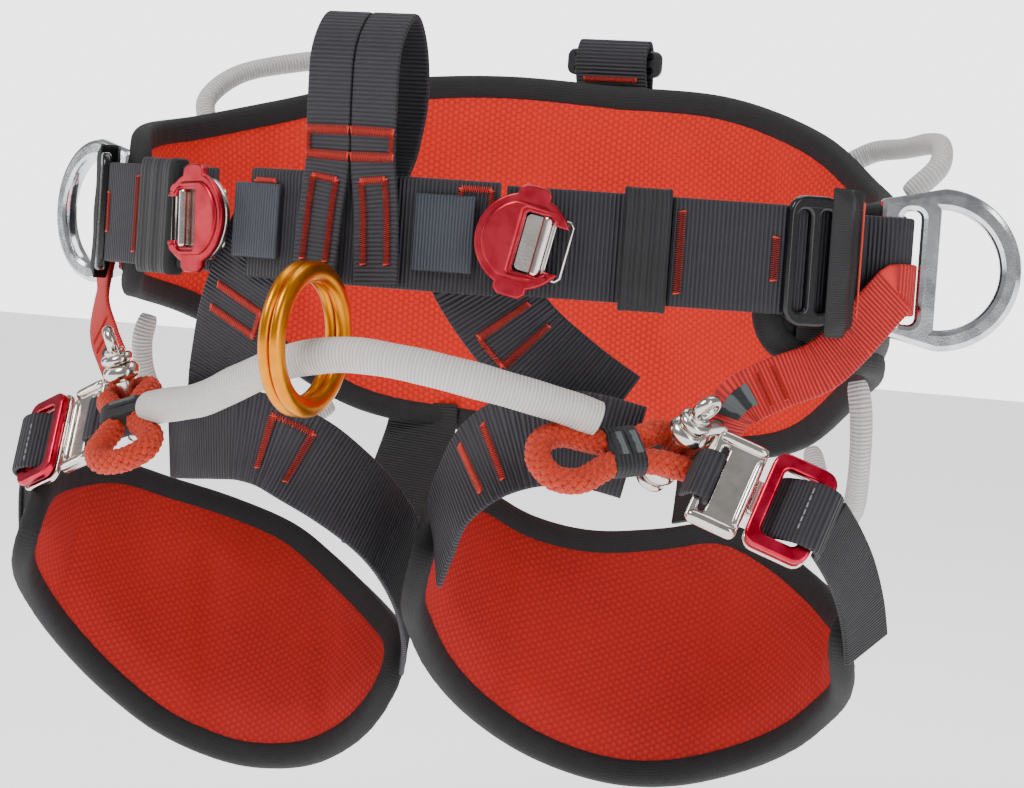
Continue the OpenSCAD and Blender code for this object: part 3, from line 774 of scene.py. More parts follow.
def pad(name, rows, place, body, grooves, finish, back, replaces, crown=4.5, inner=3.0, outer=3.6,
        steps=12, lanes=44, rim=4.0):
    """A crowned foam pad under spacer mesh. place(angle, off, height) gives the pad's surface; off is
    positive on the outer side. Grooves are (start, end, depth, width) lines of (angle, height)."""
    r = catmull(rows, steps)
    angle = r[:, 0]
    mid = place(angle, 0 * angle, (r[:, 1] + r[:, 2]) / 2)
    along = lengths(mid)
    t = np.linspace(0, 1, lanes)
    top = r[:, 1] + np.sign(r[:, 2] - r[:, 1]) * rim
    low = r[:, 2] - np.sign(r[:, 2] - r[:, 1]) * rim
    height = top[:, None] + (low - top)[:, None] * t
    wide = np.broadcast_to(angle[:, None], height.shape)
    s = np.broadcast_to(along[:, None], height.shape)
    from_ends = np.minimum(s, along[-1] - s)
    from_sides = np.minimum(np.abs(height - top[:, None]), np.abs(height - low[:, None]))
    swell = smoothstep(from_ends / 26) * smoothstep(from_sides / 24)
    plump = inner + crown * swell ** 0.8
    for (a0, h0), (a1, h1), depth, width in grooves:
        sa, sb = np.interp([a0, a1], angle, along)
        d = np.array([sb - sa, h1 - h0])
        run = d @ d
        k = np.clip(((s - sa) * d[0] + (height - h0) * d[1]) / run, 0, 1)
        far = np.hypot(s - sa - k * d[0], height - h0 - k * d[1])
        plump -= depth * swell * np.exp(-(far / width) ** 2)
    inside = place(wide, -plump, height)
    outside = place(wide, outer * (0.35 + 0.65 * swell), height)
    n, m = height.shape
    points = np.concatenate([inside.reshape(-1, 3), outside.reshape(-1, 3)])
    uv = np.stack([s, height], axis=-1).reshape(-1, 2)
    grid = np.arange(n * m).reshape(n, m)
    a, b, c, d = grid[:-1, :-1], grid[1:, :-1], grid[1:, 1:], grid[:-1, 1:]
    face_in = np.stack([a, b, c, d], axis=-1).reshape(-1, 4)
    face_out = np.stack([a, d, c, b], axis=-1).reshape(-1, 4) + n * m
    loop, nxt = border(grid)
    side = np.stack([loop, loop + n * m, nxt + n * m, nxt], axis=-1)
    faces = np.concatenate([face_in, face_out, side])
    obj = piece(name, points, faces, finish, body, np.concatenate([uv, uv]), replaces)
    obj.data.materials.append(FINISH[back])
    tone = np.zeros(len(faces), dtype=np.int32)
    tone[len(face_in):] = 1
    obj.data.polygons.foreach_set("material_index", tone)
    return obj


def binding(name, rows, place, out, body, replaces, thick=5.0, wide=6.2, rim=4.0, steps=8):
    """Binding tape folded over the pad's edge, slightly rippled."""
    r = catmull(rows, steps)
    sign = np.sign(r[:, 2] - r[:, 1])
    edge = np.concatenate([np.stack([r[:, 0], r[:, 1] + sign * rim], axis=1),
                           np.stack([r[:, 0], r[:, 2] - sign * rim], axis=1)[::-1]])
    line = place(edge[:, 0], 0 * edge[:, 0], edge[:, 1])
    both = even(np.hstack([line, out(edge[:, 0])]), 2.0)
    close = np.linalg.norm(both[0, :3] - both[-1, :3])
    if close > 1.0:
        gap = np.linspace(0, 1, max(3, int(close / 2)))[1:-1, None]
        both = np.vstack([both, both[-1] + (both[0] - both[-1]) * gap])
    else:
        both = both[:-1]
    soft = both.copy()
    for _ in range(6):
        soft = (np.roll(soft, 1, axis=0) + 2 * soft + np.roll(soft, -1, axis=0)) / 4
    p, t = soft[:, :3], directions(soft[:, :3], closed=True)
    u = unit(soft[:, 3:] - np.sum(soft[:, 3:] * t, axis=1, keepdims=True) * t)
    v = np.cross(t, u)
    turn = 2 * np.pi * np.arange(16) / 16
    cu = np.sign(np.cos(turn)) * np.abs(np.cos(turn)) ** 0.7 * thick
    cv = np.sign(np.sin(turn)) * np.abs(np.sin(turn)) ** 0.8 * wide
    s = lengths(p)
    ripple = 1 + 0.035 * np.sin(2 * np.pi * s / 7.3) * np.sin(2 * np.pi * s / 23.0)
    rings = [p[i] + ripple[i] * np.outer(cu, u[i]) + np.outer(cv, v[i]) for i in range(len(p))]
    uv = [np.stack([turn * 6, np.full(16, s[i])], axis=1) for i in range(len(p))]
    points, faces = skin(rings, closed=True)
    return piece(name, points, faces, "binding_tape", body, np.concatenate(uv), replaces)


def waist_place(angle, off, z):
    """A point off the waist ellipse by off, with a height for each angle."""
    return belt_at(angle, off, 0) + np.asarray(z)[..., None] * UP


WAIST_GROOVES = [
    ((-62, 40), (-48, -60), 2.6, 7), ((-30, 62), (-14, -84), 2.8, 8), ((2, 66), (16, -84), 2.8, 8),
    ((30, 60), (42, -70), 2.6, 7), ((62, 26), (70, -44), 2.2, 6), ((-84, 36), (-80, -36), 2.2, 6),
    ((92, 14), (96, -32), 1.8, 5)]


def waist_belt():
    """Waist pad, its binding and the outer shell."""
    pad("waist_pad_mesh", WAIST_ROWS, waist_place, "belt", WAIST_GROOVES, "spacer_mesh", "shell_fabric",
        "waist_pad", crown=3.6)
    binding("waist_pad_binding", WAIST_ROWS, waist_place, belt_out, "belt", "waist_binding")
    rows = [(a, top - 7, low + 7) for a, top, low in catmull(WAIST_ROWS, 3) if abs(a) <= 116]
    cover("waist_cover", rows, waist_place, "belt", "waist_shell")


def cover(name, rows, place, body, replaces=(), low_off=3.9, high_off=6.0):
    """The stiff outer shell: a thin crowned sheet on the pad's outer side."""
    r = catmull(rows, 3)
    t = np.linspace(0, 1, 25)
    height = r[:, 1][:, None] + (r[:, 2] - r[:, 1])[:, None] * t
    wide = np.broadcast_to(r[:, 0][:, None], height.shape)
    s = np.broadcast_to(lengths(place(r[:, 0], 0 * r[:, 0], 0 * r[:, 0]))[:, None], height.shape)
    swell = smoothstep(np.minimum(s, s[-1] - s) / 12) * smoothstep(np.minimum(t, 1 - t)[None, :] * 8)
    outside = place(wide, low_off + (high_off - low_off) * swell, height)
    inside = place(wide, low_off - 0.6 + 0 * swell, height)
    n, m = height.shape
    grid = np.arange(n * m).reshape(n, m)
    a, b, c, d = grid[:-1, :-1], grid[1:, :-1], grid[1:, 1:], grid[:-1, 1:]
    faces = np.concatenate([np.stack([a, d, c, b], axis=-1).reshape(-1, 4),
                            np.stack([a, b, c, d], axis=-1).reshape(-1, 4) + n * m])
    loop, nxt = border(grid)
    faces = np.concatenate([faces, np.stack([loop, nxt, nxt + n * m, loop + n * m], axis=-1)])
    uv = np.stack([s, height], axis=-1).reshape(-1, 2)
    points = np.concatenate([outside.reshape(-1, 3), inside.reshape(-1, 3)])
    return piece(name, points, faces, "shell_fabric", body, np.concatenate([uv, uv]), replaces)


LEG_GROOVES = {
    "left": [((-90, -44), (-84, 16), 2.4, 7), ((-34, -30), (-24, 44), 2.4, 8), ((6, -34), (18, 40), 2.4, 8)],
    "right": [((-62, -50), (-56, 24), 2.2, 8), ((-4, -70), (2, 24), 2.0, 9), ((48, -36), (52, 0), 1.8, 6)]}


def leg_loops():
    """Leg pads and their bindings."""
    for side in SIDES:
        def place(angle, off, down, side=side):
            return thigh_at(side, angle, off, down)
        pad(f"leg_pad_mesh_{side}", LEG_ROWS[side], place, f"leg_{side}", LEG_GROOVES[side], "leg_mesh",
            "shell_fabric", f"leg_pad_{side}", crown=3.6)
        binding(f"leg_pad_binding_{side}", LEG_ROWS[side], place, thigh_out, f"leg_{side}",
                f"leg_binding_{side}")


waist_belt()
leg_loops()

# ---------------------------------------------------------------- straps of the belt
def belt_line(side, a, b, off, z=0.0, step=1.0):
    """Points and outward directions along the belt; off is a number or a function of the angle."""
    angle = arc(a, b, step)
    away = off(angle) if callable(off) else off + 0 * angle
    line, out = belt_at(angle, away, z), belt_out(angle)
    return (line, out) if SIDES[side] > 0 else (flip_x(line), flip_x(out))


def belt_strap(side, a, b, off, width, thick=WEB_T, z=0.0):
    """Webbing along the belt; on both sides its length runs the same way round the saddle."""
    line, out = belt_line(side, a, b, off, z)
    if SIDES[side] < 0:
        line, out = line[::-1], out[::-1]
    return Strap(line, out, width, thick, steps=1)


def wing_line():
    """The wing webbing's run from the front, round the D-ring's bar and back towards the rear."""
    front, rear = arc(117, 101, 1.5), arc(91, 86, 1.5)
    turn = np.radians(arc(-75, 92, 5))
    ring = np.stack([np.cos(turn), np.sin(turn), 0 * turn], axis=1)
    bar = np.array([D_BAR[0], D_BAR[1], 0])
    line = np.concatenate([belt_at(front, STRAP_OFF, 0), bar + 8.8 * ring, belt_at(rear, STRAP_OFF + 0.2, 0)])
    return line, np.concatenate([belt_out(front), ring, belt_out(rear)])


def outer_run(angle):
    """The front strap leaves the wing's line behind the adjuster and comes in to the front line."""
    outer = STRAP_OFF + WEB_T + 0.4
    return outer + (FRONT_OFF - outer) * np.clip((angle - 122) / 12, 0, 1)


def strip(strap, s0, s1, a0, a1, lift, thick=0.5):
    """A thin patch lying on a strap."""
    s = np.linspace(s0, s1, max(3, int(s1 - s0)))
    facing = strap.at(s, 0 * s, 1.0) - strap.at(s, 0 * s, 0.0)
    return Strap(strap.at(s, 0 * s + (a0 + a1) / 2, lift), facing, a1 - a0, thick, steps=1)


def belt_webbings():
    """All webbing along the belt, with what is threaded on it."""
    strap_piece("back_webbing_long", belt_strap("right", -84, 84, STRAP_OFF, BELT_W), "belt_webbing", "belt",
                "back_webbing")
    panel = belt_strap("right", 162, 200, FRONT_OFF + 0.2, BELT_W + 2, WEB_T * 1.5)
    strap_piece("front_panel_webbing", panel, "belt_webbing", "belt", "front_panel")
    end = panel.length
    boxes = [((3, 8), (3, 20)), ((16, 8), (16, 20)), ((3, 20), (16, 20)), ((end - 3, 6), (end - 3, 18)),
             ((end - 14, 6), (end - 14, 18)), ((end - 14, 18), (end - 3, 18))]
    sewn("front_panel_tacks", [tack(panel, start, stop, 2.2) for start, stop in boxes], "belt")
    for side, sign in SIDES.items():
        line, out = wing_line()
        if sign < 0:
            line, out = flip_x(line)[::-1], flip_x(out)[::-1]
        wing = Strap(line, out, BELT_W - 3, WEB_T, steps=1)
        strap_piece(f"wing_webbing_loop_{side}", wing, "belt_webbing", "belt", f"wing_webbing_{side}")
        main = belt_strap(side, 108, FRONT_END[side], outer_run, BELT_W)
        strap_piece(f"front_belt_{side}", main, "belt_webbing", "belt", f"front_strap_{side}")
        doubled(side)
        keeper(side)
        adjuster(side)
        wing_flap(side)
        a = CONNECTOR[side]
        link = belt_strap(side, a, a - 8, FRONT_OFF + WEB_T + 1.6, 32, WEB_T, z=1.0)
        strap_piece(f"buckle_connector_{side}", link, "grey_webbing", "belt", f"connector_{side}", rib=0)


def doubled(side):
    """The strap's free end, sewn back on itself past the keeper."""
    lap = belt_strap(side, 117, LAP_END[side], lambda a: outer_run(a) + WEB_T + 0.4, BELT_W)
    strap_piece(f"front_belt_lap_{side}", lap, "belt_webbing", "belt")
    end = lap.length
    far = (lambda s: end - s) if side == "right" else (lambda s: s)
    seams = [tack(lap, (far(3.5), -17), (far(3.5), 17), 3.2)]
    seams += [tack(lap, (far(end - 14), -9), (far(end - 14), 9), 3.0)]
    sewn(f"front_belt_tacks_{side}", seams, "belt")


def keeper(side):
    """Elastic sleeve round the doubled front strap, with its own soft edges."""
    mid, half = KEEPER[side]
    angle = np.linspace(mid - half, mid + half, 26)
    turn = np.radians(np.linspace(0, 360, 40, endpoint=False))
    wide = np.sign(np.cos(turn)) * np.abs(np.cos(turn)) ** 0.32
    tall = np.sign(np.sin(turn)) * np.abs(np.sin(turn)) ** 0.22
    rings, uv = [], []
    for i, a in enumerate(angle):
        edge = min(i, len(angle) - 1 - i)
        lip = 0.7 * math.exp(-((edge - 1.2) / 1.2) ** 2) - (0.9 if edge == 0 else 0)
        ripple = 0.45 * math.cos(2 * math.pi * (i - 12.5) / 9)
        centre = belt_at(a, FRONT_OFF + 1.6, 0)
        out = np.outer(wide * (4.6 + lip + ripple), belt_out(a))
        rings.append(centre + out + np.outer(tall * (25.4 + lip * 0.5), UP))
        uv.append(np.stack([turn * 9, np.full(len(turn), i * 0.6)], axis=1))
    if SIDES[side] < 0:
        rings = [flip_x(r)[::-1] for r in rings]
        uv = [u[::-1] for u in uv]
    points, faces = skin(rings)
    piece(f"elastic_keeper_{side}", points, faces, "elastic", "belt", np.concatenate(uv), f"keeper_{side}")


def adjuster(side):
    """Three-bar adjuster of black coated steel with the strap threaded through it."""
    place = on_belt(side, 116, STRAP_OFF + WEB_T * 2 + 0.6)
    holes = [rounded(6, 42, 2.4, (x, 0)) for x in (-5.5, 5.5)]
    plate(f"adjuster_frame_{side}", [rounded(26, 54, 8)] + holes, 4.0, 1.3, place, "black_steel", "belt",
          f"adjuster_{side}", facets=3)


def wing_flap(side):
    """Soft cloth flap beside the adjuster, bound at its edge and sewn with one thin line."""
    angle = arc(103.8, 113.2, 0.4)
    height = np.linspace(-31, 31, 31)
    a, z = np.meshgrid(angle, height, indexing="ij")
    s = lengths(belt_at(angle, 12.4, 0))
    from_edge = np.minimum(np.minimum(s, s[-1] - s)[:, None], np.minimum(z + 31, 31 - z))
    puff = 1.7 * smoothstep(from_edge / 5) + 0.35 * np.cos(z / 4.1) * smoothstep(from_edge / 9)
    n, m = a.shape
    over = 12.0 + 6.0 * smoothstep((a - 106.2) / 4.2)
    top = waist_place(a, over + puff, z)
    low = waist_place(a, over - 0.5, z)
    grid = np.arange(n * m).reshape(n, m)
    q = np.stack([grid[:-1, :-1], grid[:-1, 1:], grid[1:, 1:], grid[1:, :-1]], axis=-1).reshape(-1, 4)
    loop, nxt = border(grid)
    faces = np.concatenate([q, q[:, ::-1] + n * m, np.stack([loop, nxt, nxt + n * m, loop + n * m], axis=-1)])
    points = np.concatenate([top.reshape(-1, 3), low.reshape(-1, 3)])
    uv = np.stack([np.broadcast_to(s[:, None], a.shape), z], axis=-1).reshape(-1, 2)
    if SIDES[side] < 0:
        points, faces = flip_x(points), faces[:, ::-1]
    piece(f"wing_flap_{side}", points, faces, "shell_fabric", "belt", np.concatenate([uv, uv]))
    line = waist_place(np.full(60, 105.0), 14.2, np.linspace(-25, 26, 60))
    sewn(f"wing_flap_seam_{side}", [line if SIDES[side] > 0 else flip_x(line)], "belt", 0.5)


# ---------------------------------------------------------------- front textile loop and risers
def height_on(strap, z, upto=None):
    """Where along a strap its line passes height z."""
    count = len(strap.s) if upto is None else upto
    zs, s = strap.p[:count, 2], strap.s[:count]
    order = np.argsort(zs)
    return float(np.interp(z, zs[order], s[order]))


def front_loop():
    """Two tapes side by side; the path gives depth, height and distance from the loop's middle."""
    path = np.array([
        (-130.6, -22, 15), (-130.8, 8, 13), (-132, 28, 10.7), (-134, 52, 10.7), (-133, 76, 10.7),
        (-121, 90, 10.7), (-110, 78, 10.7), (-106, 56, 10.7), (-112, 34, 10.7), (-120.6, 18, 11),
        (-121, -18, 12)])
    threads = []
    for k in (-1, 1):
        line = catmull(np.stack([LOOP_X + k * path[:, 2], path[:, 0], path[:, 1]], axis=1), 8)
        tape = Strap(line, np.cross((1, 0, 0), directions(line)), 21, WEB_T, steps=1)
        strap_piece(f"front_loop_{'left' if k < 0 else 'right'}", tape, "belt_webbing", "belt",
                    "ventral_loop" if k < 0 else ())
        top = int(np.argmax(tape.p[:, 2]))
        under, over = (height_on(tape, z, top) for z in (30.5, 41))
        for s in (over, under):
            threads.append(tack(tape, (s, -10), (s, 10), 3.4, 0.8))
        threads.append(tack(tape, (under, k * 9), (over, k * 9), 2.2))
        low, high = (height_on(tape, z, top) for z in (-14, 21))
        for a in (-5.5, 5.5):
            threads.append(tack(tape, (low, a), (high, a), 2.8, 0.8))
        threads.append(tack(tape, (high, -5.5), (high, 5.5), 2.4))
    sewn("front_loop_stitching", threads, "belt")


def risers():
    """Webbings from the front panel down to the shackles."""
    routes = {
        "left": [(-48, -119, 6), (-58, -117, -14), (-71, -111, -42), (-81, -99, -66), (-87, -89, -84)],
        "right": [(38, -120, 4), (46, -117, -16), (62, -105, -40), (80, -90, -58), (95, -78, -70)]}
    for side, route in routes.items():
        strap = Strap(route, same(route, (0, -1, 0.2)), RISER_W, WEB_T)
        strap_piece(f"riser_webbing_{side}", strap, "belt_webbing", "belt", f"riser_{side}")
        lines = [tack(strap, (height_on(strap, z), -13), (height_on(strap, z), 13), 3.0) for z in (-33, -43)]
        edge = 13 if side == "right" else -13
        lines.append(tack(strap, (height_on(strap, -33), edge), (height_on(strap, -43), edge), 2.2))
        sewn(f"riser_tacks_{side}", lines, "belt")


# ---------------------------------------------------------------- front buckles
def buckle_edge(r, grow, ear):
    """C-shaped plate: a disc with a window that opens to the right, and an ear above and below."""
    jaw = 9.5 + grow
    start = math.degrees(math.asin(jaw / r))
    half = 7 - grow * 0.7
    at_ear = math.degrees(math.acos(half / r))
    arcs = [circle(r, 14, (0, 0), start, at_ear)]
    rise = math.sqrt(r * r - half * half)
    bump = np.array([(half, rise + ear * 0.5), (half - 2.4, rise + ear), (-half + 2.4, rise + ear),
                     (-half, rise + ear * 0.5)])
    if ear:
        arcs.append(bump)
    arcs.append(circle(r, 30, (0, 0), 180 - at_ear, 180 + at_ear))
    if ear:
        arcs.append(-bump)
    arcs.append(circle(r, 14, (0, 0), 360 - at_ear, 360 - start))
    x = 11.5 + grow
    y = 12.5 + grow
    left = -1.5 - grow
    arcs.append(np.array([(x, -jaw), (x, -y + 1), (x - 1, -y), (left + 1, -y), (left, -y + 1), (left, y - 1),
                          (left + 1, y), (x - 1, y), (x, y - 1), (x, jaw)]))
    return np.concatenate(arcs)


def buckles():
    """Front buckles: a stepped rose plate that lifts, over a steel frame and its cross bar."""
    for side in SIDES:
        angle, turn = BUCKLE[side]
        body = f"buckle_{side}"
        place = on_belt(side, angle, FRONT_OFF + WEB_T + 1.4, 0, turn)
        up = place @ Matrix.Translation((0, 0, 3.2))
        plate(f"buckle_cover_{side}", [buckle_edge(20, 0, 4.6)], 3.3, 0.9, up, "rose_anodised", body,
              f"buckle_plate_{side}", facets=3)
        plate(f"buckle_cover_step_{side}", [buckle_edge(17.2, 1.1, 0)], 2.4, 1.2,
              place @ Matrix.Translation((0, 0, 5.2)), "rose_anodised", body, facets=1)
        edge = np.concatenate([circle(19, 40, (0, 0), 43.2, 316.8),
                               [(17, -13), (19, -11), (19, 11), (17, 13)]])
        windows = [rounded(11, 22, 1.5, (5, 0)), rounded(4, 24, 1.5, (-13, 0))]
        plate(f"buckle_frame_{side}", [edge] + windows, 2.8, 0.7, place, "stainless", "belt",
              f"buckle_tongue_{side}", facets=2)
        bar = np.stack([np.full(20, 8.0), np.linspace(-12.4, 12.4, 20), np.full(20, 4.4)], axis=1)
        points, faces, uv = pipe(bar, 2.4, 16)
        piece(f"buckle_bar_{side}", points, faces, "stainless", "belt", uv, place=place)


# ---------------------------------------------------------------- D-rings and slings
def d_rings():
    """Side D-rings: a slot for the wing webbing and the sling, and the large eye."""
    for side in SIDES:
        outer = np.concatenate([[(-4.75, 27.5), (-4.75, -27.5), (-3.5, -28.6)],
                                circle(34.5, 60, (22, 0), -90, 90), [(-3.5, 28.6)]])
        slot = rounded(8, 48, 3, (9, 0))
        inner = circle(25.5, 60, (22, 0), -92, 92)
        place = (mirrored(side) @ Matrix.Translation(Vector(D_BAR)) @ turned(90, 0, D_YAW)
                 @ Matrix.Translation((0, 0, -4)))
        ring = plate(f"d_ring_forged_{side}", [outer, slot, inner], 8.0, 2.4, place, "polished_aluminium",
                     f"d_ring_{side}", f"d_ring_{side}", facets=1)
        sharp(ring, 30)


SLING_ROUTE = {
    "left": [(185, -37, -30), (177, -53, -48), (163, -66, -62), (148, -76, -76)],
    "right": [(185, -37, -30), (177, -53, -43), (164, -68, -51), (151, -76, -60), (141, -73, -73)]}


def slings():
    """Slings from the D-rings to the shackles, each with a grey block where its label was."""
    for side, route in SLING_ROUTE.items():
        turn = np.radians(arc(86, -50, 4))
        ring = np.stack([np.cos(turn), np.sin(turn), 0 * turn], axis=1)
        bar = np.array([D_BAR[0], D_BAR[1], -9.5])
        down = catmull(route, 8)
        line = np.concatenate([bar + 11.4 * ring, down])
        face = np.concatenate([ring, same(down, (0.75, -0.55, 0.35))])
        if SIDES[side] < 0:
            line, face = flip_x(line)[::-1], flip_x(face)[::-1]
        strap = Strap(line, face, SLING_W, 2.0, steps=1)
        strap_piece(f"sling_webbing_{side}", strap, "red_sling", "belt", f"sling_{side}", rib=1.7, rib_h=0.16)
        end = strap.length
        far = (lambda s: end - s) if SIDES[side] > 0 else (lambda s: s)
        lo, hi = sorted((far(23), far(9)))
        patch = strip(strap, lo, hi, -4.5, 5.5, 0.15)
        strap_piece(f"sling_print_{side}", patch, "print_patch", "belt", rib=0)
        tacks = [tack(strap, (far(k), -8), (far(k), 8), 2.0) for k in (28, 35)]
        sewn(f"sling_tacks_{side}", tacks, "belt", 0.35)


# ---------------------------------------------------------------- shackles, bridge rope, ring
def shackles():
    """Bow shackles: the bow, its two ears, and the pin with its collars and eye."""
    for side in SIDES:
        place = at_shackle(side)
        bend = np.radians(np.linspace(90, -90, 30))
        x = np.concatenate([np.linspace(0, 15, 10), 15 + 11.8 * np.cos(bend[1:-1]), np.linspace(15, 0, 10)])
        z = np.concatenate([np.full(10, 11.8), 11.8 * np.sin(bend[1:-1]), np.full(10, -11.8)])
        line = np.stack([x, 0 * x, z], axis=1)
        swell = 3.6 + 1.2 * np.exp(-(x / 5.0) ** 2)
        points, faces, uv = pipe(line, swell, 24, normals=(0, 1, 0))
        piece(f"shackle_bow_{side}", points, faces, "stainless", "belt", uv, f"shackle_{side}", place)
        ear = np.array(disc(8.3, 7.4, 15.2, 3.8, 4.1))
        turned_part(f"shackle_ears_{side}", [ear, (ear * [1, -1])[::-1]], place, "stainless", "belt")
        pin_parts = [disc(*sizes, 0.01) for sizes in (
            (4, -17, 18, 0.4), (7.2, 15.3, 19.9, 2.2), (6.8, -20.0, -15.3, 2.3), (4.6, 19.4, 22.0, 0.8))]
        turned_part(f"shackle_pin_turned_{side}", pin_parts, place, "stainless", f"pin_{side}",
                    f"shackle_pin_{side}")
        eye = place @ Matrix.Translation((0, 0, 26)) @ turned(90)
        ring = circle(1, 24) * [2.3, 2.5] + [4.7, 0]
        turned_part(f"shackle_pin_eye_{side}", [ring], eye, "stainless", f"pin_{side}")


# One side of a rope eye: distance from the pin, and out from the eye's middle line
EYE_SHAPE = [
    (-9.7, 0), (-7, 6.9), (0, 9.7), (8, 8.2), (16, 5.8), (29, 5.6), (36, 8.4), (46, 12.6), (56, 9.6), (60, 0)]
EYE_BEND = 7                     # the eye leaves the pin square to it, and turns this far out


def eye_frame(side):
    """Directions of an eye: along its pin, away from it, and across."""
    pin, away = unit(PIN_DIR[side]), unit(EYE_DIR[side])
    return pin, away, unit(np.cross(pin, away))


def eye_mid(side, x):
    """The eye's middle line at distance x from the pin."""
    pin, away, _ = eye_frame(side)
    q = unit(away - (away @ pin) * pin)
    x = np.asarray(x, float)[..., None]
    return shackle_mid(side) + np.minimum(x, EYE_BEND) * q + np.maximum(0, x - EYE_BEND) * away


def rope(name, line, normals, side):
    """Hollow braid: eight strands each way, passing over and under one another round a dark tube of painted
    shade in the hollow.
    """
    p = np.asarray(line, float)
    step = np.linalg.norm(np.roll(p, -1, axis=0) - p, axis=1)
    s = np.concatenate([[0], np.cumsum(step)])
    total = s[-1]
    want = np.linspace(0, total, int(total / 0.7), endpoint=False)
    loop = np.vstack([p, p[:1]])
    p = np.stack([np.interp(want, s, loop[:, k]) for k in range(3)], axis=1)
    for _ in range(8):
        p = (np.roll(p, 1, axis=0) + 2 * p + np.roll(p, -1, axis=0)) / 4
    t = directions(p, closed=True)
    u = unit(normals - np.sum(normals * t, axis=1, keepdims=True) * t)
    v = np.cross(t, u)
    turns = round(total / 30)
    parts = []
    for way in (1, -1):
        for k in range(8):
            phase = 2 * np.pi * (k / 8 + way * turns * want / total)
            lift = 4.1 + way * 0.62 * np.cos(16 * np.pi * turns * want / total)
            out = np.cos(phase)[:, None] * u + np.sin(phase)[:, None] * v
            parts.append(pipe(p + lift[:, None] * out, 1.28, 8, normals=out, closed=True, flatten=0.72))
    points, faces, uv = merge(parts)
    piece(name, points, faces, "orange_rope", "bridge", uv, f"bridge_eye_{side}")
    # A dark tube inside the strands: painted shade for the hollow, seen through the gaps of the braid.
    points, faces, uv = pipe(p, 3.7, 10, normals=u, closed=True)
    piece(name + "_core", points, faces, "painted_shade_core", "bridge", uv)


BRIDGE_ROUTE = [
    (-106, -118, -84), (-91, -129, -81), (-65, -144, -76), (-41, -153, -66), (-16, -160, -56),
    (10, -161, -51), (34, -158, -52), (58, -150, -56), (79, -138, -61), (96, -126, -66), (106, -118, -70)]


def bridge():
    """The rope bridge: an eye and its sheath at each end, and the tubular sleeve between them."""
    for side in SIDES:
        half = catmull([(x, y, 0) for x, y in EYE_SHAPE], 8)
        ring = np.concatenate([half, (half * [1, -1, 1])[-2:0:-1]])
        _, away, across = eye_frame(side)
        line = eye_mid(side, ring[:, 0]) + ring[:, 1:2] * across
        rope(f"bridge_rope_eye_{side}", line, np.cross(away, across), side)
        band(side)
    route = even(catmull(BRIDGE_ROUTE, 6), 0.5)
    s = lengths(route)
    radius = 7.3 + 0.07 * np.cos(2 * np.pi * s / 1.5) + 0.12 * np.sin(s / 9.0) + 0.08 * np.sin(s / 3.7 + 1)
    t = directions(route)
    u = carried(route, (0, 0, 1))
    v = np.cross(t, u)
    turn = 2 * np.pi * np.arange(40) / 40
    rings, uv = [], []
    ends = [(5.3, 7.0), (5.7, 0.0), (6.9, 0.0)]
    rows = [(0, r, d) for r, d in ends] + [(i, radius[i], 0) for i in range(1, len(route) - 1)]
    last = len(route) - 1
    rows += [(last, r, -d) for r, d in reversed(ends)]
    for i, r, inset in rows:
        centre = route[i] + inset * t[i]
        rings.append(centre + r * (np.outer(np.cos(turn), u[i]) + np.outer(np.sin(turn), v[i])))
        uv.append(np.stack([turn * 10, np.full(len(turn), s[i])], axis=1))
    points, faces = skin(rings)
    piece("bridge_tubular_sleeve", points, faces, "sleeve_weave", "bridge", np.concatenate(uv),
          "bridge_sleeve")


def band(side):
    """Sheath squeezed over both legs of the rope below its eye, with a worn grey print on each face."""
    _, away, across = eye_frame(side)
    face = np.cross(away, across)
    x = np.concatenate([[16.0, 16.0], np.linspace(16.5, 29.5, 24), [30.0, 30.0]])
    shrink = np.concatenate([[0.72, 0.93], np.full(24, 1.0), [0.93, 0.72]])
    turn = 2 * np.pi * np.arange(40) / 40
    flat = np.sign(np.cos(turn)) * np.abs(np.cos(turn)) ** 0.75 * 6.3
    wide = np.sign(np.sin(turn)) * np.abs(np.sin(turn)) ** 0.7 * 11.6
    waist = 1 - 0.09 * np.exp(-(wide / 4) ** 2)
    rings, uv = [], []
    for xi, k in zip(x, shrink):
        ripple = 1 + 0.015 * math.sin(xi * 3.5)
        out = np.outer(flat * waist * k * ripple, face)
        rings.append(eye_mid(side, xi) + out + np.outer(wide * k, across))
        uv.append(np.stack([wide, np.full(len(turn), xi)], axis=1))
    points, faces = skin(rings)
    piece(f"rope_sheath_{side}", points, faces, "band_sheath", "bridge", np.concatenate(uv),
          f"rope_band_{side}")
    spans = [(17.2, 21.8), (23.6, 28.4)] if side == "right" else [(17.4, 22.4)]
    for n, (a, b) in enumerate(spans):
        patches = []
        for way in (1, -1):
            xs = np.linspace(a, b, 7)
            line = eye_mid(side, xs) + way * 6.0 * face
            patches.append(Strap(line, same(line, way * face), 12, 0.8, steps=1).mesh(rib=0))
        points, faces, uv = merge(patches)
        piece(f"rope_sheath_print_{side}_{n}", points, faces, "print_patch", "bridge", uv)


def double_ring():
    """Two lobes turned from one piece, with a groove between them."""
    lobe = circle(1, 36, (0, 0), -56, 236) * [4.3, 3.1] + [28, 2.5]
    profile = np.concatenate([lobe, (lobe * [1, -1])[::-1]])
    turned_part("bridge_double_ring", [profile], Matrix.Translation(Vector(RING)) @ turned(0, 90),
                "gold_anodised", "ring", "bridge_ring", segments=128)


